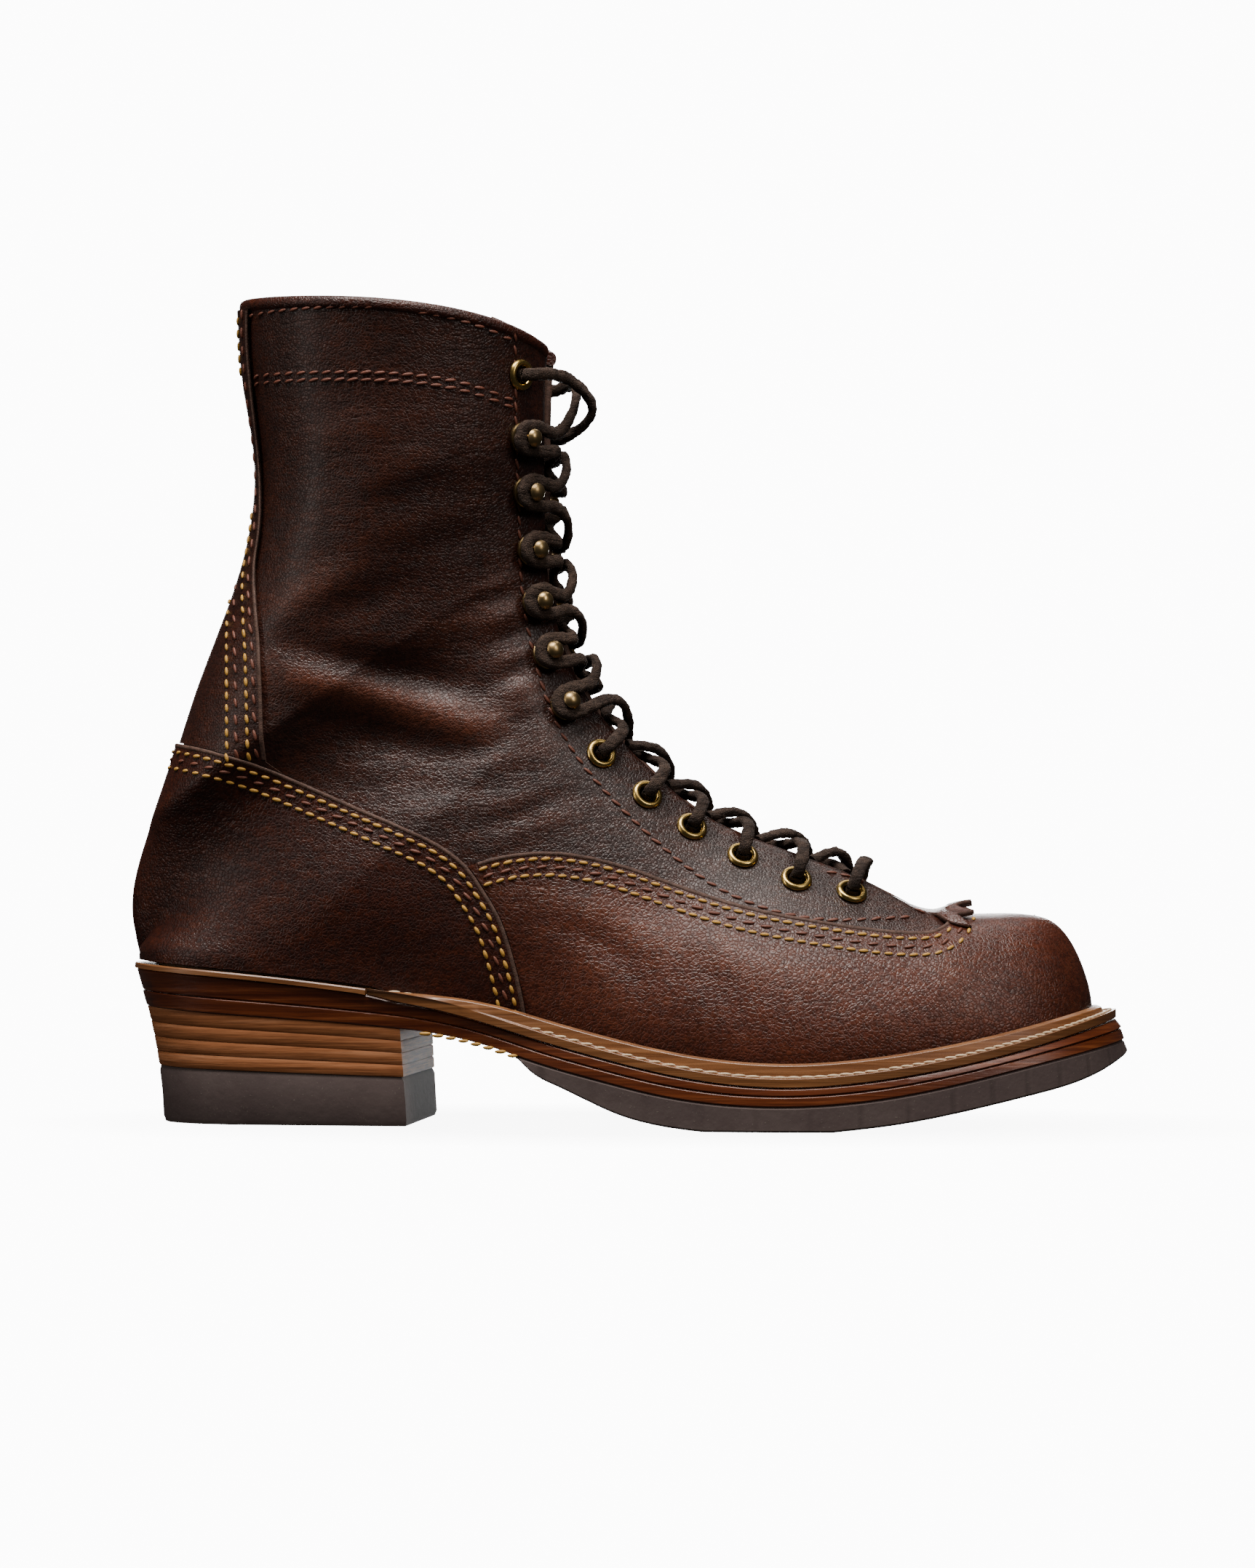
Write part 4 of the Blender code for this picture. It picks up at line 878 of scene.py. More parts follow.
welt_edge = burnished(
    "welt_edge", (0.115, 0.042, 0.012), (0.235, 0.098, 0.031), (0.35, 0.165, 0.062), (0.32, 0.48), 240.0, 0.6,
)
sole_edge = burnished(
    "sole_edge", (0.050, 0.0095, 0.0020), (0.135, 0.031, 0.0065), (0.26, 0.078, 0.019),
    (0.26, 0.44), 260.0, coat=0.2,
)
heel_edge = burnished(
    "heel_edge", (0.150, 0.056, 0.022), (0.380, 0.150, 0.060), (0.56, 0.280, 0.140),
    (0.50, 0.66), 200.0, coat=0.0, specular=0.12,
)
insole_board = burnished(
    "insole_board", (0.30, 0.18, 0.09), (0.40, 0.26, 0.14), (0.48, 0.33, 0.20), (0.6, 0.8), 10.0, 0.2, 0.0,
)


def rubber_compound(name, colour, dust):
    made, tree, shader = new_material(name)
    here = object_place(tree)
    bloom = ramp(tree, noise(tree, here, 38.0, 5.0, 0.65), [(0.35, 0.0), (0.75, 0.6)])
    base = mix_colour(tree, bloom, colour, dust)
    grit = ramp(tree, noise(tree, here, 1500.0, 2.0), [(0.66, 0.0), (0.74, 0.7)])
    lumps = math_node(tree, "ADD", noise(tree, here, 420.0, 4.0), math_node(tree, "MULTIPLY", grit, 0.5))
    set_sockets(shader, {
        "Base Color": mix_colour(tree, grit, base, (0.16, 0.14, 0.12)),
        "Roughness": 0.72, "Specular IOR Level": 0.2, "Normal": bumped(tree, lumps, 0.3, 0.0004),
    })
    return made


sole_rubber = rubber_compound("sole_rubber", (0.074, 0.056, 0.054), (0.135, 0.108, 0.100))
print("edges:", welt_edge.name, sole_edge.name, heel_edge.name, sole_rubber.name)


# %% Brass and thread
def aged_brass(name, colour, tarnish, rough):
    made, tree, shader = new_material(name)
    marks = ramp(tree, noise(tree, object_place(tree), 330.0, 5.0, 0.7), [(0.38, 0.0), (0.72, 1.0)])
    set_sockets(shader, {
        "Base Color": mix_colour(tree, marks, colour, tarnish),
        "Roughness": between(tree, marks, rough, rough + 0.22), "Metallic": 1.0,
    })
    return made


def waxed_thread(name, colour, shade):
    made, tree, shader = new_material(name)
    uneven = noise(tree, object_place(tree), 620.0, 3.0)
    ply = noise(tree, stretched(tree, (2600.0,) * 3), 1.0, 1.0)
    set_sockets(shader, {
        "Base Color": mix_colour(tree, uneven, shade, colour),
        "Roughness": 0.55, "Normal": bumped(tree, ply, 0.5, 0.0002),
    })
    return made


eyelet_brass = aged_brass("eyelet_brass", (0.60, 0.43, 0.13), (0.33, 0.22, 0.07), 0.20)
hook_brass = aged_brass("hook_brass", (0.40, 0.29, 0.13), (0.20, 0.14, 0.07), 0.28)
yellow_thread = waxed_thread("yellow_thread", (0.62, 0.36, 0.06), (0.34, 0.17, 0.025))
brown_thread = waxed_thread("brown_thread", (0.19, 0.060, 0.032), (0.075, 0.022, 0.013))
natural_thread = waxed_thread("natural_thread", (0.72, 0.60, 0.42), (0.46, 0.34, 0.20))
print("threads:", yellow_thread.name, brown_thread.name, natural_thread.name)

# %% [markdown]
# ## The skin of the last
# One fine grid covers the outside of the upper in two halves that meet at the toe, at the ridge and
# up the back. The creases are drawn on it in millimetres, as the boot is seen from its outer side.
# Each is a soft ridge or trough with its own height and half-width. Wear rubs the oil off the
# ridges, so the same lines also say where the colour lifts.

# %% Creases
# height, half-width, then points (x, z), all in millimetres
CREASES = [
    (2.6, 6.0, [
        (-1.8, 137.4), (11.9, 133.9), (25.1, 130.4), (39.3, 126.4),
        (51.4, 122.5), (62.5, 120.3), (73.5, 123.8),
    ]),
    (-2.0, 4.6, [(-2.4, 146.7), (11.9, 141.9), (24.1, 138.2), (37.2, 135.6), (49.4, 132.7), (58.4, 129.5)]),
    (-1.7, 7.5, [(17.0, 120.0), (33.2, 114.5), (49.4, 110.4), (65.5, 112.9)]),
    (0.9, 5.5, [(-1.9, 152.2), (7.8, 158.2), (16.9, 163.6), (27.1, 167.6)]),
    (-0.8, 5.5, [(11.9, 149.6), (24.1, 155.1), (35.2, 160.0), (47.3, 163.9)]),
    (0.6, 4.0, [(35.2, 145.0), (47.3, 147.9), (59.4, 154.8), (72.5, 160.7)]),
    (-0.5, 2.6, [(53.4, 153.9), (63.5, 158.3), (73.0, 161.7)]),
    (0.45, 2.2, [(58.4, 159.8), (65.5, 163.3), (73.0, 165.7)]),
    (0.5, 2.2, [(59.4, 149.8), (67.5, 153.3), (73.5, 155.7)]),
    (-0.5, 2.2, [(59.4, 143.8), (67.5, 146.8), (75.0, 150.2)]),
    (0.5, 2.2, [(62.5, 138.8), (69.5, 141.3), (77.0, 144.2)]),
    (-0.55, 2.4, [(62.5, 133.3), (70.5, 135.8), (78.0, 139.2)]),
    (0.5, 2.2, [(64.5, 128.8), (72.5, 131.3), (79.6, 134.3)]),
    (-0.5, 2.6, [(65.5, 119.9), (74.5, 122.3), (82.6, 125.3)]),
    (0.6, 3.6, [(27.2, 108.0), (41.3, 109.0), (57.5, 107.4), (73.5, 111.9), (87.6, 115.8)]),
    (-0.5, 4.0, [(12.0, 105.0), (26.2, 102.0), (41.3, 101.0), (57.5, 98.9), (75.6, 103.9)]),
    (0.45, 3.4, [(41.3, 94.0), (55.4, 96.9), (71.5, 96.9), (88.6, 105.8)]),
    (-0.45, 3.0, [(55.5, 89.5), (69.5, 91.9), (82.6, 97.9), (94.6, 100.8)]),
    (0.4, 3.0, [(65.5, 85.0), (79.6, 90.9), (93.6, 94.9)]),
    (0.35, 5.0, [(8.7, 204.4), (21.9, 208.3), (39.2, 211.1)]),
    (0.4, 5.0, [(26.0, 191.2), (41.2, 198.0), (57.4, 201.9)]),
    (-0.4, 5.0, [(22.0, 182.2), (39.2, 189.0), (59.4, 194.8)]),
    (0.4, 4.5, [(27.1, 174.1), (43.3, 181.0), (61.4, 185.8)]),
    (-0.35, 4.0, [(41.2, 170.0), (55.4, 175.9), (67.5, 180.8)]),
    (0.45, 2.0, [(-15.6, 146.3), (-12.5, 149.8), (-6.4, 151.3)]),
    (-0.6, 2.0, [(-17.6, 148.3), (-13.6, 152.3), (-6.4, 154.3)]),
    (0.5, 5.0, [(74.7, 68.3), (92.2, 64.5), (111.9, 56.3), (127.0, 47.3)]),
    (-0.4, 4.5, [(80.1, 60.8), (95.2, 56.3), (108.8, 45.8), (116.4, 33.8)]),
    (0.35, 4.0, [(87.6, 56.3), (98.3, 47.2), (105.8, 35.3), (108.8, 24.8)]),
    (-0.35, 4.5, [(120.9, 53.3), (131.5, 44.3), (139.0, 33.9), (142.0, 24.9)]),
    (0.5, 6.0, [(114.9, 56.3), (133.0, 51.8), (151.0, 45.9), (172.0, 43.0)]),
    (-0.35, 7.0, [(166.0, 34.0), (177.9, 41.5), (191.4, 46.0), (204.8, 46.0)]),
    (0.5, 7.0, [(194.4, 53.5), (201.8, 46.0), (206.2, 38.6)]),
    (-0.4, 5.0, [(69.4, 56.2), (80.1, 45.7), (87.7, 35.2)]),
]


def crease_fields(x, z):
    """Height of the creases in metres, and how much handling shows, at arrays of side view places."""
    height = np.zeros_like(x)
    handled = np.zeros_like(x)
    here = np.stack([x, z], axis=-1) / MM
    for rise, half, points in CREASES:
        line = smooth_line([(i, *p) for i, p in enumerate(points)])
        places = np.linspace(0, len(points) - 1, 4 * len(points))
        path = np.array([line(s) for s in places])
        nearest = np.full(x.shape, 1e9)
        fade = np.zeros_like(x)
        for n, (a, b) in enumerate(zip(path, path[1:])):
            run = b - a
            share = np.clip(((here - a) @ run) / (run @ run), 0, 1)
            apart = np.linalg.norm(here - a - share[..., None] * run, axis=-1)
            along = (n + share) / (len(path) - 1)
            closer = apart < nearest
            nearest = np.where(closer, apart, nearest)
            fade = np.where(closer, np.sin(math.pi * np.clip(along, 0.04, 0.96)) ** 0.7, fade)
        form = np.exp(-((nearest / half) ** 2)) * fade
        height += rise * form * MM
        handled += 0.55 * rise * form
    return height, handled


# %% Fine grid
ROWS_A_SECTION = 12
ACROSS = 56
# The corner at the ankle is evened between two sections, this many times.
CORNER_EVENING = (10.6, 15.2, 600)
PUFF = 0.00022
BINOMIAL = (1, 5, 10, 10, 5, 1)
GRID_ROWS = LAST_SECTION * ROWS_A_SECTION


def bezier_run(controls, shares):
    t = shares[:, None]
    return sum(n * (1 - t) ** (5 - i) * t**i * controls[i] for i, n in enumerate(BINOMIAL))


def half_grid(side):
    """Places of the skin on one side, as rows of points from the ridge or the throat to the base."""
    rows = []
    for i in range(GRID_ROWS + 1):
        k = i / ROWS_A_SECTION
        controls = section_controls(k, side)
        start = 0.0
        if k > THROAT_SECTION:
            start = share_where(controls, lambda p: abs(p[1] - controls[0][1]) >= throat_half(k))
        rows.append(bezier_run(controls, np.linspace(start, 1.0, ACROSS + 1)))
    points = np.array(rows)
    first, last, times = CORNER_EVENING
    k = np.arange(GRID_ROWS + 1) / ROWS_A_SECTION
    share = np.linspace(0, 1, ACROSS + 1)
    by_row = np.clip(np.minimum(k - first, last - k) / 0.9, 0, 1)
    by_column = np.clip(np.minimum(share - 0.18, 0.96 - share) / 0.08, 0, 1)
    mask = (by_row[:, None] * by_column[None, :])[1:-1, 1:-1, None]
    for _ in range(times):
        near = (points[:-2, 1:-1] + points[2:, 1:-1] + points[1:-1, :-2] + points[1:-1, 2:]) / 4
        points[1:-1, 1:-1] += (near - points[1:-1, 1:-1]) * 0.5 * mask
    return points


halves = {side: half_grid(side) for side in (-1, 1)}


def fine_skin(out=0.0):
    """The outer skin as one open mesh, moved outwards by one distance, with its handling as a layer."""
    bm = bmesh.new()
    for side, points in halves.items():
        made = bmesh.ops.create_grid(bm, x_segments=ACROSS, y_segments=GRID_ROWS, size=0.5)["verts"]
        for v in made:
            v.co = points[round((v.co.y + 0.5) * GRID_ROWS), round((v.co.x + 0.5) * ACROSS)]
    bmesh.ops.remove_doubles(bm, verts=bm.verts, dist=0.00002)
    bmesh.ops.recalc_face_normals(bm, faces=bm.faces)
    if sum(f.normal.y * f.calc_center_median().y for f in bm.faces) < 0:
        bmesh.ops.reverse_faces(bm, faces=bm.faces)
    bm.normal_update()
    here = np.array([v.co for v in bm.verts])
    normal = np.array([v.normal for v in bm.verts])
    inner = here[:, 1] > swing(0.1)
    height, handled = crease_fields(here[:, 0] + 0.004 * inner, here[:, 2] - 0.003 * inner)
    flat = np.clip(1.4 * np.abs(normal[:, 1]) - 0.2, 0, 1)
    layer = bm.verts.layers.float.new("handled")
    for v, n, rise, worn, soft in zip(bm.verts, normal, height, handled, flat):
        puff = PUFF * perlin.noise(v.co * 55)
        v.co += Vector(n) * (out + (rise * soft + puff))
        v[layer] = min(1.0, max(0.0, worn * soft))
    return bm


plain = fine_skin()
skin_tree = BVHTree.FromBMesh(plain)
print("skin:", len(plain.faces), "faces, creases:", len(CREASES))
plain.free()

# %% [markdown]
# ## Making a piece
# Every piece ends as a mesh at the origin that rides on the boot's one body and stands for its solid,
# which it hides. The first function below does this. The others are the maker's operations:
# lofting rings, thickening a sheet, turning a profile, and clicking a pattern out of a skin of leather.


# %% Operations
def add_piece(name, bm, materials, stands_for, sharp=38.0):
    mesh = bpy.data.meshes.new(name)
    bm.normal_update()
    bm.to_mesh(mesh)
    bm.free()
    mesh.shade_smooth()
    mesh.set_sharp_from_angle(angle=math.radians(sharp))
    for material in materials:
        mesh.materials.append(material)
    obj = bpy.data.objects.new(name, mesh)
    bpy.context.scene.collection.objects.link(obj)
    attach(obj, "root")
    if stands_for:
        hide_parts(*stands_for)
    return obj


def loft(bm, rings):
    """Joins rings of points with faces and closes both ends. Equal points become one."""
    made = [[bm.verts.new(p) for p in ring] for ring in rings]
    for a, b in zip(made, made[1:]):
        for j in range(len(a)):
            n = (j + 1) % len(a)
            bm.faces.new([a[j], b[j], b[n], a[n]])
    bm.faces.new(made[0][::-1])
    bm.faces.new(made[-1])
    fresh = [v for ring in made for v in ring]
    bmesh.ops.remove_doubles(bm, verts=fresh, dist=0.000005)
    bmesh.ops.dissolve_degenerate(bm, edges=bm.edges, dist=0.000002)
    bmesh.ops.recalc_face_normals(bm, faces=bm.faces)


def soften(obj, width, angle=35.0):
    """Breaks the sharp edges of a piece."""
    edge = obj.modifiers.new("softened", "BEVEL")
    edge.width = width
    edge.segments = 2
    edge.limit_method = "ANGLE"
    edge.angle_limit = math.radians(angle)
    edge.harden_normals = False


def thicken(obj, thickness, outwards, rim=0, inside=0):
    wall = obj.modifiers.new("wall", "SOLIDIFY")
    wall.thickness = thickness
    wall.offset = 1.0 if outwards else -1.0
    wall.use_quality_normals = True
    wall.material_offset = inside
    wall.material_offset_rim = rim


def apply_all(obj):
    """Bakes the modifiers of a piece into its mesh."""
    made = bpy.data.meshes.new_from_object(obj.evaluated_get(bpy.context.evaluated_depsgraph_get()))
    obj.modifiers.clear()
    obj.data = made


def cut(obj, tool_bm, materials, operation):
    """Cuts a piece with a closed form. Its new faces take the last of the materials."""
    bmesh.ops.triangulate(tool_bm, faces=tool_bm.faces)
    bmesh.ops.recalc_face_normals(tool_bm, faces=tool_bm.faces)
    if tool_bm.calc_volume(signed=True) < 0:
        bmesh.ops.reverse_faces(tool_bm, faces=tool_bm.faces)
    mesh = bpy.data.meshes.new("cutter")
    tool_bm.to_mesh(mesh)
    tool_bm.free()
    for material in materials:
        mesh.materials.append(material)
    mesh.polygons.foreach_set("material_index", [len(materials) - 1] * len(mesh.polygons))
    cutter = bpy.data.objects.new("cutter", mesh)
    bpy.context.scene.collection.objects.link(cutter)
    tool = obj.modifiers.new("cut", "BOOLEAN")
    tool.operation = operation
    tool.solver = "EXACT"
    tool.object = cutter
    apply_all(obj)
    bpy.data.objects.remove(cutter)


def side_prism(outline):
    """A block that has this outline seen from the side and is wider than the boot."""
    bm = bmesh.new()
    loft(bm, [[(x, y, z) for x, z in outline] for y in (-BALL_WIDTH, BALL_WIDTH)])
    return bm


def side_curve(points, count):
    """Points along a seam seen from the side, in metres."""
    line = smooth_line([(i, x, z) for i, (x, z) in enumerate(points)])
    values = [line(i * (len(points) - 1) / count) for i in range(count + 1)]
    return [(foot_x(x), RIM_HEIGHT * z) for x, z in values]


def turned(bm, profile, place, axis, steps=24):
    """Spins a profile of (radius, height) once round an axis that starts at place."""
    line = [bm.verts.new((radius, 0.0, height)) for radius, height in profile]
    edges = [bm.edges.new(pair) for pair in zip(line, line[1:])]
    before = set(bm.verts) - set(line)
    bmesh.ops.spin(
        bm, geom=line + edges, cent=(0, 0, 0), axis=(0, 0, 1), angle=2 * math.pi, steps=steps, use_merge=True,
    )
    fresh = [v for v in bm.verts if v not in before]
    bmesh.ops.remove_doubles(bm, verts=fresh, dist=0.000005)
    fresh = [v for v in bm.verts if v not in before]
    turn = Vector(axis).to_track_quat("Z", "Y").to_matrix().to_4x4()
    bmesh.ops.transform(bm, matrix=Matrix.Translation(Vector(place)) @ turn, verts=fresh)


def cast(tree, x, z, side):
    """Where a point of the side view lands on a surface, and the way out of the surface there."""
    return tree.ray_cast(Vector((x, side * BALL_WIDTH, z)), Vector((0, -side, 0)))[:2]


def side_spot(spot, side):
    place, normal = cast(skin_tree, foot_x(spot[0]), RIM_HEIGHT * spot[1], side)
    return np.array(place), np.array(normal)


# %% [markdown]
# ## Upper
# The quarters and the shaft are one thickness of leather with a soft inside. The holes for the
# eyelets go right through it.

# %% Upper
upper_materials = [shaft_leather, inside_leather, cut_edge]
upper = add_piece("boot_upper", fine_skin(), upper_materials, ["upper"])
thicken(upper, WALL, outwards=False, rim=2, inside=1)
punch = bmesh.new()
for side in (-1, 1):
    for spot in EYELETS + [TOP_EYELET]:
        radius, reach = EYELET_BARREL_R + GAP, 2.5 * WALL
        rod = [(0, -reach), (radius, -reach), (radius, reach), (0, reach)]
        turned(punch, rod, *side_spot(spot, side), 20)
bmesh.ops.recalc_face_normals(punch, faces=punch.faces)
cut(upper, punch, upper.data.materials, "DIFFERENCE")
print("upper:", len(upper.data.polygons), "faces")

# %% [markdown]
# ## Counter, vamp and backstay
# Each is clicked out of a second skin that lies on the upper. Its edge is cut raw, so the paler
# middle of the hide shows as a line all along it.


# %% Overlays
def overlay(name, thickness, material, outline, stands_for):
    materials = [material, material, cut_edge]
    piece = add_piece(name, fine_skin(0.0001), materials, [stands_for])
    thicken(piece, thickness, outwards=True, rim=2)
    cut(piece, side_prism(outline), materials, "INTERSECT")
    piece.data.set_sharp_from_angle(angle=math.radians(45))
    print(name, len(piece.data.polygons), "faces")
    return piece


def base_run(start, end, count):
    """Points just above the line that the upper stands on, seen from the side."""
    low, high = foot_x(SOLE_SIDE[0][0]), foot_x(SOLE_SIDE[-1][0])
    return [(x, upper_base(min(high, max(low, x))) + GAP) for x in turns(start, end, count)]


far_back, far_front = foot_x(-0.08), foot_x(1.08)
counter_line = side_curve(COUNTER_EDGE, 60)
low_end = next(i for i, p in enumerate(counter_line) if p[1] < upper_base(p[0]) + GAP)
counter = overlay(
    "counter_pocket", COUNTER_THICKNESS, counter_leather,
    counter_line[:low_end] + base_run(counter_line[low_end - 1][0], far_back, 40), "counter",
)
vamp_line = side_curve(VAMP_EDGE, 84)
front_line = [(x + 0.0002, z + 0.0002) for x, z in counter_line[:low_end] if z < RIM_HEIGHT * 0.324]
front_places = np.array(front_line)[::-1]
vamp_top = [p for p in vamp_line if p[0] > np.interp(p[1], front_places[:, 1], front_places[:, 0]) + 0.0004]
front_line = [p for p in front_line if p[1] < vamp_top[0][1] - 0.0002]
vamp_base = base_run(far_front, front_line[-1][0], 80)
vamp = overlay(
    "vamp_and_toe", VAMP_THICKNESS, vamp_leather,
    vamp_top + [(far_front, vamp_top[-1][1])] + vamp_base + front_line[::-1], "vamp",
)
stay_line = side_curve(BACKSTAY_EDGE, 60)
above_counter = [(x + 0.0001, z + 0.0003) for x, z in counter_line if x < stay_line[-1][0] + 0.004]
stay_line = [p for p in stay_line if p[1] > above_counter[-1][1] + 0.0005]
backstay = overlay(
    "backstay_strip", BACKSTAY_THICKNESS, shaft_leather,
    stay_line + above_counter[::-1] + [(far_back, stay_line[0][1])], "backstay",
)

# %% Raw edges
def surface_tree(objects):
    bm = bmesh.new()
    for obj in objects:
        bm.from_mesh(obj.data)
    bm.normal_update()
    tree = BVHTree.FromBMesh(bm)
    bm.free()
    return tree


def run_at(places, n):
    """The way a line of places runs at place n."""
    return places[min(n + 1, len(places) - 1)][0] - places[max(n - 1, 0)][0]


def offset_line(points, distance):
    """A line moved square to its own run, to the left of it for a positive distance."""
    line = np.array(points, float)
    run = np.gradient(line, axis=0)
    run /= np.linalg.norm(run, axis=1)[:, None]
    return line + np.stack([-run[:, 1], run[:, 0]], axis=1) * distance


def even_places(points, pitch):
    """Places at one pitch along a line."""
    line = np.array(points, float)
    reach = np.concatenate([[0.0], np.cumsum(np.linalg.norm(np.diff(line, axis=0), axis=1))])
    count = max(2, int(reach[-1] / pitch))
    spots = [(n + 0.5) * reach[-1] / count for n in range(count)]
    return [[np.interp(s, reach, line[:, i]) for i in range(line.shape[1])] for s in spots]


def cast_line(tree, points, side):
    """Where a side view line lands on a surface, as (place, way out), leaving out what it misses."""
    hits = []
    for x, z in points:
        place, normal = cast(tree, x, z, side)
        if place is not None and place.y * side > 0 and normal.y * side > 0.12:
            hits.append((np.array(place), np.array(normal)))
    return hits


RAW_EDGE_STEP = 0.0016
RAW_EDGE_HALF_WIDTH = 0.00062
RAW_EDGE_HEIGHT = 0.00028
edge_bm = bmesh.new()
low_cut = [p for p in counter_line[3:low_end] if p[1] > upper_base(p[0]) + 0.004]
vamp_seam = [p for p in vamp_line if p[0] > front_line[0][0] + 0.002]
for piece, line in ((counter, low_cut), (vamp, vamp_seam[:-6]), (backstay, stay_line)):
    tree = surface_tree([piece])
    for side in (-1, 1):
        hits = cast_line(tree, even_places(offset_line(line, -0.0005), RAW_EDGE_STEP), side)
        rings = []
        for n, (place, normal) in enumerate(hits):
            run = run_at(hits, n)
            run /= np.linalg.norm(run)
            across = np.cross(run, normal)
            uneven = 0.00010 * perlin.noise(Vector(place) * 300)
            ring = []
            for angle in turns(0.0, 2 * math.pi, 8)[:-1]:
                wide = across * (math.cos(angle) * RAW_EDGE_HALF_WIDTH + uneven)
                ring.append(place + wide + normal * math.sin(angle) * RAW_EDGE_HEIGHT)
            rings.append(ring)
        print("raw edge of", piece.name, len(rings), "steps")
        if len(rings) > 2:
            loft(edge_bm, rings)
add_piece("raw_edges", edge_bm, [cut_edge], [], 70.0)
print("raw edges")

# %% [markdown]
# ## Tongue, kiltie and rolled top
# The tongue lies under the facings. The kiltie is a short fringed flap at the foot of the lacing, and
# a narrow strip is rolled over the raw rim of the shaft.


# %% Sheets over the ridge
def skin_point(k, side, spread):
    """The point of the skin at a section, this far to one side of the ridge."""
    controls = section_controls(k, side)
    if spread <= 0:
        return controls[0]
    return curve_point(controls, share_where(controls, lambda p: abs(p[1] - controls[0][1]) >= spread))


def sheet_over_ridge(rows, across):
    """An open skin across the ridge, with its grid. rows are (section, half-width)."""
    bm = bmesh.new()
    shares = np.linspace(-1.0, 1.0, across + 1)
    grid = [
        [bm.verts.new(skin_point(k, -1 if u < 0 else 1, abs(u) * half)) for u in shares] for k, half in rows
    ]
    fill_rows(bm, grid)
    turn_up(bm)
    return bm, grid


def fill_rows(bm, rows):
    for before, after in zip(rows, rows[1:]):
        for j in range(len(before) - 1):
            bm.faces.new([before[j], after[j], after[j + 1], before[j + 1]])


def turn_up(bm):
    bm.normal_update()
    if sum(f.normal.x + f.normal.z for f in bm.faces) < 0:
        bmesh.ops.reverse_faces(bm, faces=bm.faces)
    bm.normal_update()


def move_out(bm, distance_of):
    moves = [(v, v.normal.copy() * distance_of(v)) for v in bm.verts]
    for v, move in moves:
        v.co += move


tongue_line = smooth_line(TONGUE_SPREAD)
tongue_rows = [THROAT_SECTION + 0.3 + 0.15 * i for i in range(112)]
tongue_rows = [k for k in tongue_rows if k < LAST_SECTION] + [LAST_SECTION]
tongue_bm, tongue_grid = sheet_over_ridge([(k, BALL_WIDTH * tongue_line(k)[0]) for k in tongue_rows], 20)
move_out(tongue_bm, lambda v: -(WALL + 5 * GAP))
top_rows = [tongue_grid[-1]]
for lift, back in ((0.0022, 0.0), (0.0040, -0.0004), (0.0046, -0.0016)):
    top_rows.append([tongue_bm.verts.new(v.co + Vector((back, 0.0, lift))) for v in tongue_grid[-1]])
fill_rows(tongue_bm, top_rows)
bmesh.ops.recalc_face_normals(tongue_bm, faces=tongue_bm.faces)
turn_up(tongue_bm)
tongue_materials = [tongue_leather, inside_leather, cut_edge]
tongue = add_piece("boot_tongue", tongue_bm, tongue_materials, ["tongue"])
thicken(tongue, TONGUE_THICKNESS, outwards=False, rim=2, inside=1)

# %% Kiltie
FRINGES = 5
KILTIE_STEPS = 36
KILTIE_ACROSS = 60
kiltie_line = smooth_line([(i, *row) for i, row in enumerate(KILTIE)])
kiltie_rows = [kiltie_line(k) for k in turns(0.0, len(KILTIE) - 1, KILTIE_STEPS)]
kiltie_widths = [(k, BALL_WIDTH * half) for k, half, _ in kiltie_rows]
kiltie_bm, kiltie_grid = sheet_over_ridge(kiltie_widths, KILTIE_ACROSS)
lift_of = {}
for i, row in enumerate(kiltie_grid):
    for j, v in enumerate(row):
        lift = kiltie_rows[i][2]
        lift_of[v] = lift - max(lift, 0) * 0.72 * (2 * j / KILTIE_ACROSS - 1) ** 2
move_out(kiltie_bm, lambda v: lift_of[v])
for i, row in enumerate(kiltie_grid):
    forward = ease(i, 20, KILTIE_STEPS)
    for j, v in enumerate(row):
        saw = abs((j / KILTIE_ACROSS * FRINGES) % 1.0 - 0.5) * 2
        v.co.x -= KILTIE_NOTCH * (1 - saw) * forward
        v.co.z += 0.0006 * math.sin(j * 0.35) * forward
kiltie_materials = [vamp_leather, tongue_leather, cut_edge]
kiltie = add_piece("kiltie_fringe", kiltie_bm, kiltie_materials, ["kiltie"])
thicken(kiltie, KILTIE_THICKNESS, outwards=True, rim=2, inside=1)

# %% Rolled top
BINDING_WIDE = (WALL + 2 * BINDING_OVERHANG + 0.0002) / 2
BINDING_SIDES = 14
binding_rings = []
for side in (-1, 1):
    controls = section_controls(LAST_SECTION, side)
    start = share_where(controls, lambda p: abs(p[1]) >= throat_half(LAST_SECTION))
    half = []
    for t in np.linspace(start, 1.0, 70):
        here = curve_point(controls, t)
        along = curve_point(controls, min(1.0, t + 0.01)) - curve_point(controls, max(0.0, t - 0.01))
        outward = np.array([along[1], -along[0], 0.0]) * side
        outward = np.array([-1.0, 0.0, 0.0]) if t > 0.999 else outward / np.linalg.norm(outward)
        ring = []
        wave = 0.00012 * perlin.noise(Vector(here) * 260)
        for n in range(BINDING_SIDES):
            angle = 2 * math.pi * n / BINDING_SIDES
            c = math.cos(angle)
            d = -WALL / 2 + BINDING_WIDE * abs(c) ** 0.8 * math.copysign(1, c)
            h = (BINDING_HEIGHT + 0.0012) * (0.5 + 0.5 * math.sin(angle)) - 0.0014
            ring.append((*(here + outward * (d + wave))[:2], here[2] + h + GAP))
        half.append(ring)
    binding_rings.append(half)
binding_bm = bmesh.new()
loft(binding_bm, binding_rings[0] + binding_rings[1][-2::-1])
add_piece("rolled_top", binding_bm, [counter_leather], ["top_binding"], 60.0)
print("tongue, kiltie and rolled top")

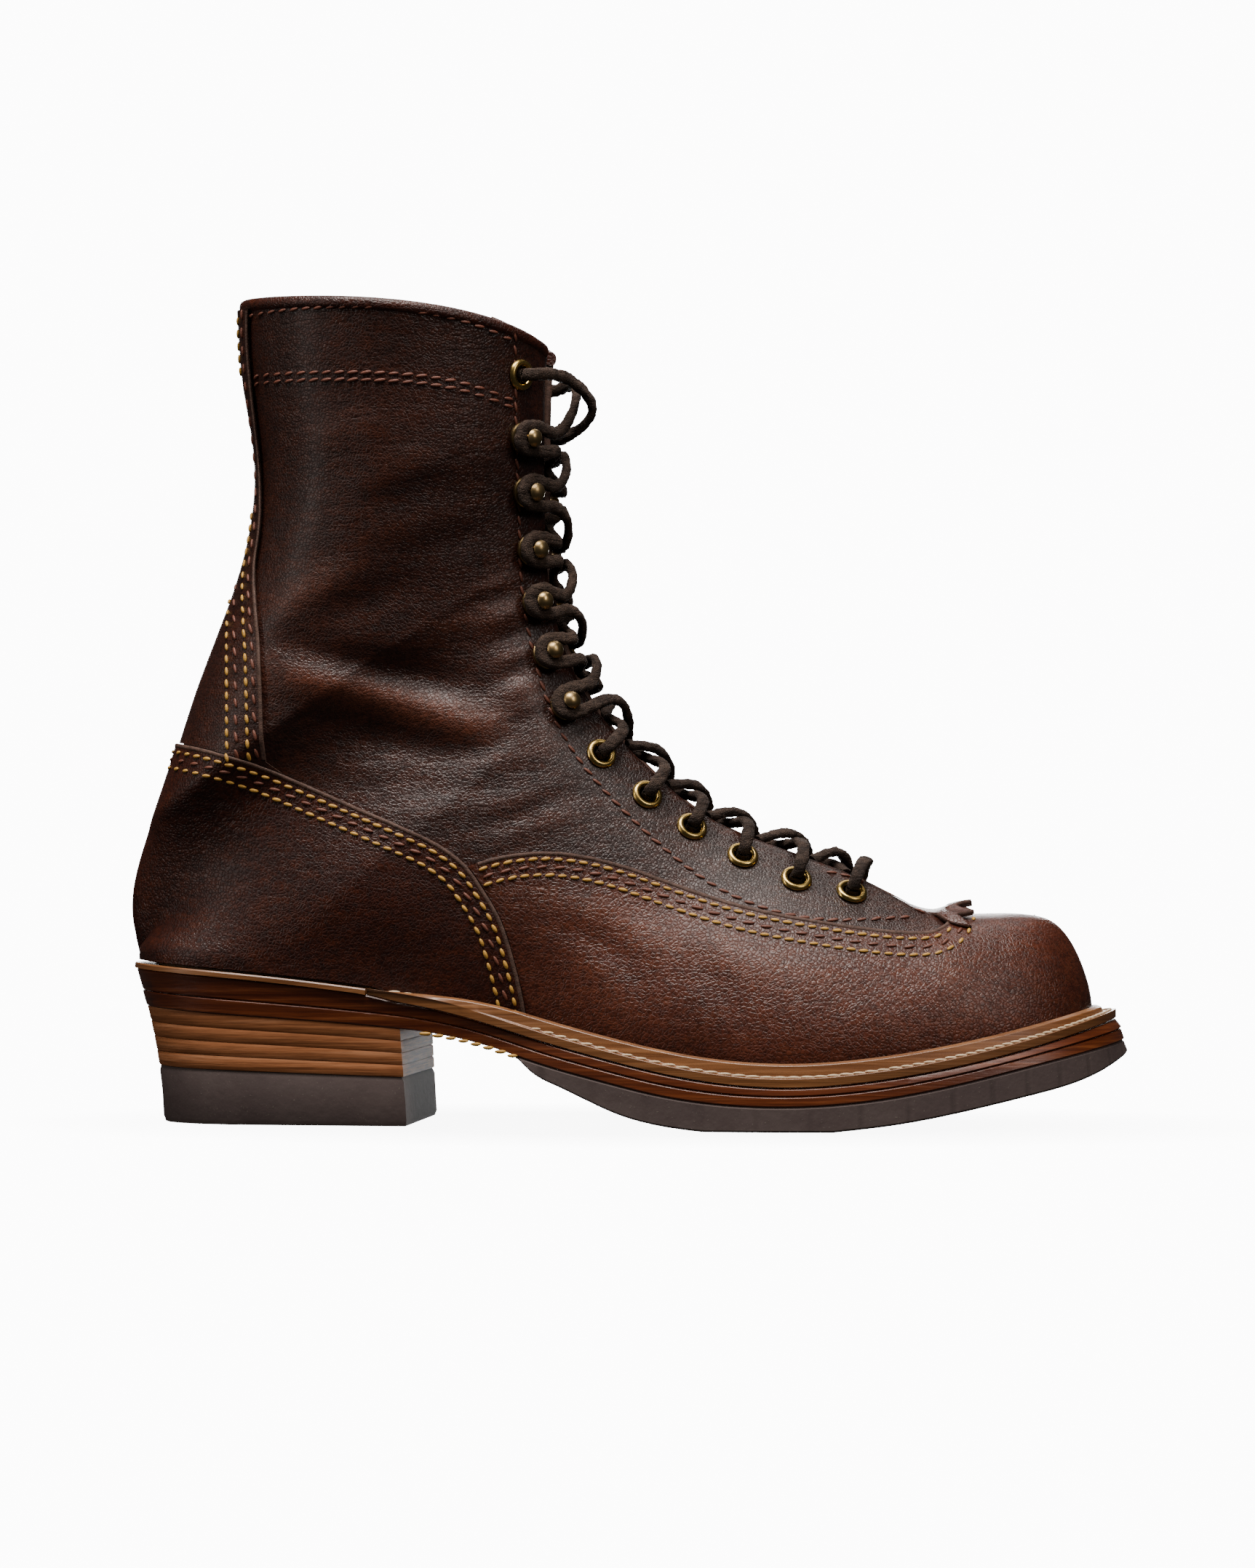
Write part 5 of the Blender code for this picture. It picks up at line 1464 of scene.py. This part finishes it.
# %% [markdown]
# ## Sole and welt
# Each layer of the sole is lofted along the print of the foot. The welt's lip stands up against the
# upper like a bead, and the rubber half sole has small cuts along its lower edge.


# %% Sole layers
CUT_STEPS = 420


def plate(name, material, stands_for, start, count, out, top, low, low_out, round_off):
    rings = []
    for turn in turns(start, math.pi, count):
        ring = []
        corners = [
            (out(turn) - round_off, 0.0, top), (out(turn), -round_off, top),
            (low_out(turn), round_off, low), (low_out(turn) - round_off, 0.0, low),
        ]
        spots = [(-1, *corners[0])] + [(1, *c) for c in corners] + [(-1, *c) for c in corners[:0:-1]]
        for side, spread, lift, height in spots:
            plan = print_point(turn, side, spread)[0]
            ring.append((plan[0], plan[1], height(plan[0]) + lift))
        rings.append(ring)
    bm = bmesh.new()
    loft(bm, rings)
    return add_piece(name, bm, [material], [stands_for], 30.0)


def mid_top(x):
    return mid_line(x) + GAP / 3


def mid_low(x):
    return mid_line(x) - GAP / 3


def cut_low(turn):
    """The rubber's lower edge, with a small cut every few steps."""
    step = round(turn / math.pi * CUT_STEPS)
    return side_reach(1.0, tread_low)(turn) - (0.00025 if step % 15 < 2 else 0.0)


plate(
    "leather_midsole", sole_edge, "midsole", 0.0, 150,
    side_reach(0.0, midsole_top), midsole_top, mid_top, side_reach(0.45, mid_top), 0.00035,
)
plate(
    "leather_outsole", sole_edge, "outsole", 0.0, 150,
    side_reach(0.45, mid_low), mid_low, leather_low, side_reach(0.7, leather_low), 0.00035,
)
plate(
    "rubber_half_sole", sole_rubber, "half_sole", turn_at(HALF_SOLE_BACK), CUT_STEPS,
    side_reach(0.7, leather_low), lambda x: leather_low(x) - GAP / 2,
    lambda x: min(tread_low(x), leather_low(x) - 3 * GAP), cut_low, 0.0006,
)
inset = -(WALL + 5 * GAP)
plate(
    "inside_sole", insole_board, "insole", 0.0, 90, lambda t: inset,
    lambda x: midsole_top(x) + INSOLE_THICKNESS, lambda x: midsole_top(x) + GAP, lambda t: inset, 0.0004,
)

# %% Welt and rand
last_section = section_at_base(WELT_END)
half_run = [last_section * (1 - i / 110) for i in range(110)]
welt_rings = [welt_ring(k, -1) for k in half_run + [0.0]] + [welt_ring(k, 1) for k in half_run[::-1]]
welt_bm = bmesh.new()
loft(welt_bm, welt_rings)
welt = add_piece("storm_welt", welt_bm, [welt_edge], ["welt"], 30.0)
soften(welt, 0.0006, 28.0)

rand_rings = []
for side, turn in round_the_heel(WELT_END - 2 * GAP, 50):
    outer, edge, inner = (
        print_point(turn, side, reach)[0] for reach in (sole_margin(turn), sole_margin(turn) - 0.0004, -WALL)
    )
    rand_rings.append([
        (*outer, midsole_top(outer[0]) + GAP / 2), (*outer, edge_top(outer[0]) - 0.0004),
        (*edge, edge_top(outer[0])), (*inner, edge_top(inner[0])), (*inner, midsole_top(inner[0]) + GAP / 2),
    ])
rand_bm = bmesh.new()
loft(rand_bm, rand_rings)
add_piece("rand_at_the_heel", rand_bm, [welt_edge], ["heel_rand"], 30.0)


# %% Heel
def heel_ring(height, inset=0.0):
    """The heel's outline at one level."""
    ring = []
    breast = HEEL_BREAST - BREAST_LEAN * height(HEEL_BREAST) / SEAT_HEIGHT - inset
    for side, turn in round_the_heel(breast, 40):
        near = height(foot_x((1 - math.cos(turn)) / 2))
        plan = print_point(turn, side, sole_margin(turn) - heel_tuck(turn, near) - inset)[0]
        x = min(plan[0], breast)
        ring.append((x, plan[1], height(x)))
    return ring


def heel_level(share, lift=0.0):
    return lambda x: (leather_low(x) - GAP / 2) * (1 - share) + cap_top(x) * share + lift


def heel_block(name, material, stands_for, top, low, round_off):
    def level(share):
        return lambda x: top(x) * (1 - share) + low(x) * share

    bm = bmesh.new()
    middle = [heel_ring(level(share)) for share in (0.1, 0.5, 0.9)]
    loft(bm, [heel_ring(top, round_off), *middle, heel_ring(low, round_off)])
    return add_piece(name, bm, [material], [stands_for], 40.0)


for n in range(HEEL_LIFTS):
    heel_block(
        f"stacked_lift_{n + 1}", heel_edge, f"heel_lift_{n + 1}", heel_level(n / HEEL_LIFTS),
        heel_level((n + 1) / HEEL_LIFTS, GAP / 3), 0.0002,
    )
heel_block("rubber_top_piece", sole_rubber, "heel_cap", cap_top, lambda x: 0.0, 0.0006)
print("sole, welt and heel")

# %% [markdown]
# ## Eyelets and hooks
# An eyelet is one turned profile: a rounded flange outside and a small curl inside the hole. A hook
# has a flat base, a narrow neck and a domed head.

# %% Eyelets and hooks
EYELET_PROFILE = [
    (EYELET_BORE_R, -0.0020), (EYELET_BORE_R, 0.0003), (0.0028, 0.0010), (0.0034, 0.0015), (0.0041, 0.0014),
    (0.0046, 0.0010), (EYELET_FLANGE_R, 0.0004), (0.0045, 0.0001), (EYELET_BARREL_R, 0.0),
    (EYELET_BARREL_R, -0.0020),
]
HOOK_PROFILE = [
    (0, 0.0001), (HOOK_BASE_R, 0.0001), (HOOK_BASE_R, 0.0008), (0.0042, 0.0012), (0.0022, 0.0013),
    (HOOK_NECK_R, 0.0020), (HOOK_NECK_R, HOOK_HEAD_LOW), (0.0024, HOOK_HEAD_LOW + 0.0001),
    (HOOK_HEAD_R, HOOK_HEAD_LOW + 0.0006), (0.0026, HOOK_HEAD_LOW + 0.0011), (0.0018, HOOK_HEIGHT - 0.0004),
    (0.0009, HOOK_HEIGHT - 0.0001), (0, HOOK_HEIGHT),
]


def numbered(kind, count):
    """The names of a kind of solid: the outer ones, then the inner ones."""
    return [f"{kind}_{label}_{n + 1}" for label in ("outer", "inner") for n in range(count)]


for name, kind, profile, spots, steps, brass, sharp in (
    ("brass_eyelets", "eyelet", EYELET_PROFILE, EYELETS + [TOP_EYELET], 30, eyelet_brass, 60.0),
    ("speed_hooks", "hook", HOOK_PROFILE, HOOKS, 22, hook_brass, 50.0),
):
    brass_bm = bmesh.new()
    for side in (-1, 1):
        for spot in spots:
            turned(brass_bm, profile, *side_spot(spot, side), steps)
    bmesh.ops.recalc_face_normals(brass_bm, faces=brass_bm.faces)
    add_piece(name, brass_bm, [brass], numbered(kind, len(spots)), sharp)
print("eyelets and hooks")

# %% [markdown]
# ## Lace
# One rough rawhide lace crosses from eyelet to eyelet, goes behind each hook and ends inside the top
# eyelets. It is a flat strap swept along a smooth path, with an uneven surface.


# %% Lace paths
def ridge_normal(k):
    """Straight out of the ridge, in the plane of the boot's side view."""
    run = section_controls(k - 0.1, 1)[0] - section_controls(k + 0.1, 1)[0]
    normal = np.array([-run[2], 0.0, run[0]])
    return normal / np.linalg.norm(normal)


def nearest_section(place):
    """The section whose ridge point is nearest to a place, seen from the side."""
    sections = np.linspace(THROAT_SECTION, LAST_SECTION, 341)
    apart = [np.hypot(*(section_controls(k, 1)[0] - place)[[0, 2]]) for k in sections]
    return float(sections[int(np.argmin(apart))])


def edge_spot(k, side, height, inset=0.0):
    """Over the edge of the facing, or inset into the gap between the facings."""
    normal = ridge_normal(k)
    return skin_point(k, side, throat_half(k) - inset) + normal * height, normal


def middle_spot(k, height):
    normal = ridge_normal(k)
    return section_controls(k, 1)[0] + normal * height, normal


def out_of(spot, height):
    return spot[0] + spot[1] * height, spot[1]


def through(spot, height):
    """Out of an eyelet's hole, from inside the boot to over the flange."""
    return [out_of(spot, -0.0026), out_of(spot, 0.0006), out_of(spot, height)]


def strap(bm, path):
    """Sweeps the lace along a path of (point, outward)."""
    points = np.array([p for p, _ in path], float)
    outs = np.array([o for _, o in path], float)
    reach = np.concatenate([[0.0], np.cumsum(np.linalg.norm(np.diff(points, axis=0), axis=1))])
    point_line = smooth_line([(s, *p) for s, p in zip(reach, points)])
    out_line = smooth_line([(s, *o) for s, o in zip(reach, outs)])
    count = max(8, int(reach[-1] / 0.0007))
    places = np.linspace(0, reach[-1], count + 1)
    centres = np.array([point_line(s) for s in places])
    rings = []
    for i, s in enumerate(places):
        run = centres[min(i + 1, count)] - centres[max(i - 1, 0)]
        run /= np.linalg.norm(run)
        up = out_line(s)
        up = up - run * np.dot(up, run)
        up /= np.linalg.norm(up)
        across = np.cross(run, up)
        ring = []
        for n in range(12):
            angle = 2 * math.pi * n / 12
            c, d = math.cos(angle), math.sin(angle)
            form = (abs(c) ** 3.2 + abs(d) ** 3.2) ** (-1 / 3.2)
            spot = Vector(across * c + up * d)
            rough = 1 + 0.20 * perlin.noise(Vector(centres[i] * 420) + spot)
            rough += 0.16 * perlin.noise(Vector(centres[i] * 1300) + spot * 2.4)
            ring.append(centres[i] + (across * c * LACE_WIDTH + up * d * LACE_THICKNESS) / 2 * form * rough)
        rings.append(ring)
    loft(bm, rings)
    return reach[-1]


OVER = 0.0016 + LACE_THICKNESS / 2
LOW = 6 * GAP + LACE_THICKNESS / 2
SUNK = -(WALL + 5 * GAP) + 4 * GAP + LACE_THICKNESS / 2
LIFTED = SUNK + LACE_THICKNESS + 4 * GAP
ON_HOOK = SEATING + HOOK_BASE_H + 3 * GAP + LACE_THICKNESS / 2
eyelet_spots = {s: [side_spot(spot, s) for spot in EYELETS] for s in (-1, 1)}
top_spots = {s: side_spot(TOP_EYELET, s) for s in (-1, 1)}
hook_spots = {s: [side_spot(spot, s) for spot in HOOKS] for s in (-1, 1)}
at = [nearest_section(place) for place, _ in eyelet_spots[-1]]
hook_at = [nearest_section(place) for place, _ in hook_spots[-1]]

# %% Lower lacing
lace_bm = bmesh.new()
lace_length = strap(lace_bm, [
    *through(eyelet_spots[-1][0], OVER), edge_spot(at[0], -1, LOW + 0.0014), middle_spot(at[0], LOW + 0.0004),
    edge_spot(at[0], 1, LOW + 0.0014), *through(eyelet_spots[1][0], OVER)[::-1],
])
for n in range(5):
    middle = (at[n] + at[n + 1]) / 2
    step = at[n + 1] - at[n]
    for side in (-1, 1):
        centre = middle_spot(middle, LIFTED if side > 0 else SUNK)
        end = edge_spot(at[n + 1] - 0.12 * step, -side, SUNK, LACE_WIDTH / 2 + GAP)
        if n == 0:
            begin = [edge_spot(at[0] + 0.2 * step, side, SUNK, LACE_WIDTH / 2 + GAP)]
        else:
            begin = through(eyelet_spots[side][n], OVER)
            begin.append(edge_spot(at[n] + 0.15 * step, side, LOW + 0.0006))
        lace_length += strap(lace_bm, [*begin, centre, end])
add_piece("lower_lacing", lace_bm, [rawhide], ["lace_bar", *numbered("lace", 5)], 70.0)

# %% Upper lacing
for first in (-1, 1):
    lift = LIFTED + 6 * GAP if first > 0 else SUNK - GAP
    step = hook_at[0] - at[5]
    path = [
        *through(eyelet_spots[first][5], OVER), edge_spot(at[5] + 0.15 * step, first, LOW),
        middle_spot((at[5] + hook_at[0]) / 2, lift),
    ]
    side = -first
    for n in range(6):
        centre, normal = hook_spots[side][n]
        gap = hook_at[n + 1] - hook_at[n] if n < 5 else hook_at[5] - hook_at[4]
        edge, _ = edge_spot(hook_at[n], side, 0.0)
        front = edge - centre
        front -= normal * np.dot(front, normal)
        front /= np.linalg.norm(front)
        rise = np.cross(normal, front) * -side
        path.append(edge_spot(hook_at[n] - 0.19 * gap, side, ON_HOOK))
        for degrees in (-80, -135, 180, 135, 80):
            a = math.radians(degrees)
            path.append((
                centre + (front * math.cos(a) + rise * math.sin(a)) * HOOK_LOOP_R + normal * ON_HOOK, normal,
            ))
        path.append(edge_spot(hook_at[n] + 0.19 * gap, side, ON_HOOK))
        if n < 5:
            path.append(middle_spot((hook_at[n] + hook_at[n + 1]) / 2, lift))
            side = -side
    reach = nearest_section(top_spots[-side][0])
    path.append(middle_spot((hook_at[5] + reach) / 2, lift + SLACK_BULGE))
    path.append(edge_spot(reach, -side, LOW + 0.5 * SLACK_BULGE))
    path += through(top_spots[-side], OVER)[::-1]
    run_bm = bmesh.new()
    lace_length += strap(run_bm, path)
    label = "outer" if first < 0 else "inner"
    add_piece(f"{label}_run_of_lace", run_bm, [rawhide], [f"lace_{label}_run"], 70.0)
print("lace that shows:", round(lace_length, 3), "m")

# %% [markdown]
# ## Stitches
# Each seam is a row of separate stitches. A row is a line seen from the side, at a set distance in
# from the edge of its piece. It is projected onto the leather from both sides, and a small rounded
# stitch is laid at every pitch, with its ends sunk into the hide.

# %% Stitch rows
outside = surface_tree([upper, counter, vamp, backstay])


def stitch_form(length, width, height):
    """Places and faces of one stitch, along X, with its middle at the origin."""
    bm = bmesh.new()
    bmesh.ops.create_uvsphere(bm, u_segments=8, v_segments=6, radius=0.5)
    bmesh.ops.rotate(bm, verts=bm.verts, cent=(0, 0, 0), matrix=Matrix.Rotation(math.pi / 2, 3, "Y"))
    bm.verts.index_update()
    places = np.array([v.co for v in bm.verts])
    bend = 1 - 1.2 * places[:, 0] ** 2
    places[:, 2] += 0.25 * bend
    places *= (length, width, height)
    faces = [[v.index for v in f.verts] for f in bm.faces]
    bm.free()
    return places, faces


def sew(name, material, slot, laid, length, width, height, twist=0.0):
    """Joins the stitches of one thread. laid is a list of (place, run, outward)."""
    form, faces = stitch_form(length, width, height)
    places, polygons = [], []
    rng = random.Random(len(laid))
    for place, run, outward in laid:
        run = run - outward * np.dot(run, outward)
        run /= np.linalg.norm(run)
        across = np.cross(outward, run)
        lean = twist + rng.uniform(-0.06, 0.06)
        c, d = math.cos(lean), math.sin(lean)
        run, across = run * c + across * d, across * c - run * d
        size = rng.uniform(0.92, 1.06)
        first = len(places) * len(form)
        places.append(place + (form @ np.array([run, across, outward])) * size)
        polygons += [[first + i for i in face] for face in faces]
    mesh = bpy.data.meshes.new(name)
    mesh.from_pydata(np.concatenate(places).tolist(), [], polygons)
    bm = bmesh.new()
    bm.from_mesh(mesh)
    print(name, len(laid), "stitches")
    return add_piece(name, bm, [material], [], 80.0)


def cast_row(points, pitch):
    """Stitch places along a side view line, on both sides of the boot."""
    laid = []
    for side in (-1, 1):
        hits = cast_line(outside, even_places(points, pitch), side)
        for n, (place, normal) in enumerate(hits):
            run = run_at(hits, n)
            if 1e-6 < np.linalg.norm(run) < 4.5 * pitch:
                laid.append((place, run, normal))
    return laid


def smoothed(points, up=0.0, count=60):
    """A smooth line in metres through points in millimetres, moved up in metres."""
    line = smooth_line([(i, x * MM, z * MM + up) for i, (x, z) in enumerate(points)])
    return [tuple(line(s)) for s in np.linspace(0, len(points) - 1, count)]


# Pitch of a row, then length, width and height of a stitch, in metres
YELLOW_PITCH = 0.0037
BROWN_PITCH = 0.0052
YELLOW_STITCH = (0.0028, 0.0012, 0.0009)
BROWN_STITCH = (0.0034, 0.0011, 0.0008)
WAIST_STITCH = (0.0034, 0.0012, 0.0012)
WELT_STITCH = (0.0042, 0.0011, 0.0009)
yellow, brown = [], []
for line, rows in (
    (low_cut, ((0.0026, yellow), (0.0050, brown), (0.0076, yellow))),
    (vamp_seam, ((0.0022, yellow), (0.0046, brown), (0.0070, yellow))),
    (stay_line, ((0.0024, brown), (0.0048, yellow), (0.0084, brown), (0.0114, yellow))),
):
    for distance, thread in rows:
        thread += cast_row(offset_line(line, -distance), YELLOW_PITCH if thread is yellow else BROWN_PITCH)

# Points (x, z) in millimetres, seen from the outer side
CUFF_LINE = [(-10, 224.7), (-7, 224.5), (16.2, 223.5), (49.3, 221.6), (71.2, 215.9)]
FACING_LINE = [
    (71.1, 244.0), (71.1, 232.3), (71.1, 206.2), (71.5, 184.4), (72.2, 162.7), (75.1, 145.3), (78.8, 132.2),
    (84.2, 119.2), (93, 106.2), (103.9, 94.3), (116.9, 82.4), (132, 71.6), (147.2, 65.1), (157.9, 62.6),
    (168.7, 61.7), (190.1, 62.6),
]
FACING_FRONT = [(163.6, 76.1), (170.4, 74.8), (179.8, 71.1), (185.5, 69.1), (189.5, 66.5), (193.8, 63.0)]
TOP_ROW = [(-12, 245.2), (10, 245.0), (35, 244.2), (58, 240.6), (71, 236.0)]
brown += cast_row(smoothed(FACING_LINE, count=160), 0.0042)
for points, up in ((FACING_FRONT, 0.0), (CUFF_LINE, 0.0), (CUFF_LINE, 0.0022), (TOP_ROW, 0.0)):
    brown += cast_row(smoothed(points, up), 0.0040)
sew("yellow_seams", yellow_thread, "lace", yellow, *YELLOW_STITCH, 0.12)
sew("brown_seams", brown_thread, "lace", brown, *BROWN_STITCH, 0.20)

# %% Welt stitches
UP = np.array([0.0, 0.0, 1.0])
WELT_STITCHES = 70
first_turn, last_turn = turn_at(WELT_END + 0.006), math.pi - 0.02
natural = []
for side in (-1, 1):
    for n in range(WELT_STITCHES):
        turn = first_turn + (last_turn - first_turn) * (n + 0.5) / WELT_STITCHES
        middle = sole_margin(turn) - 0.0017
        plan = print_point(turn, side, middle)[0]
        ahead = print_point(turn + 0.004, side, middle)[0]
        run = np.array([*(ahead - plan), edge_top(ahead[0]) - edge_top(plan[0])])
        natural.append((np.array([*plan, edge_top(plan[0]) + 0.0001]), run, UP))
waist = []
for x in np.linspace(0.046, 0.073, 8):
    plan, _, tangent = print_point(turn_at(x), -1, sole_margin(turn_at(x)) - 0.0006)
    slope = (leather_low(x + 0.001) - leather_low(x)) / 0.001
    run = np.array([*tangent, slope * tangent[0]])
    waist.append((np.array([*plan, leather_low(plan[0]) - 0.0001]), run, -UP))
sew("waist_seam", yellow_thread, "lace", waist, *WAIST_STITCH)
sew("welt_seam", natural_thread, "lace", natural, *WELT_STITCH)

# %% [markdown]
# ## Size
# The box of the dressed boot is printed beside the box of the solids. The dressed boot
# must still fit the box of the solids.

# %% Finish
new_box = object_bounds()
lines = {"cad_box_m": [list(map(float, c)) for c in cad_box], "visual_box_m": [list(map(float, c)) for c in new_box]}
for low_or_high, (a, b) in zip(("low", "high"), zip(cad_box, new_box)):
    print(low_or_high, [round(v * 1000, 2) for v in a], [round(v * 1000, 2) for v in b])
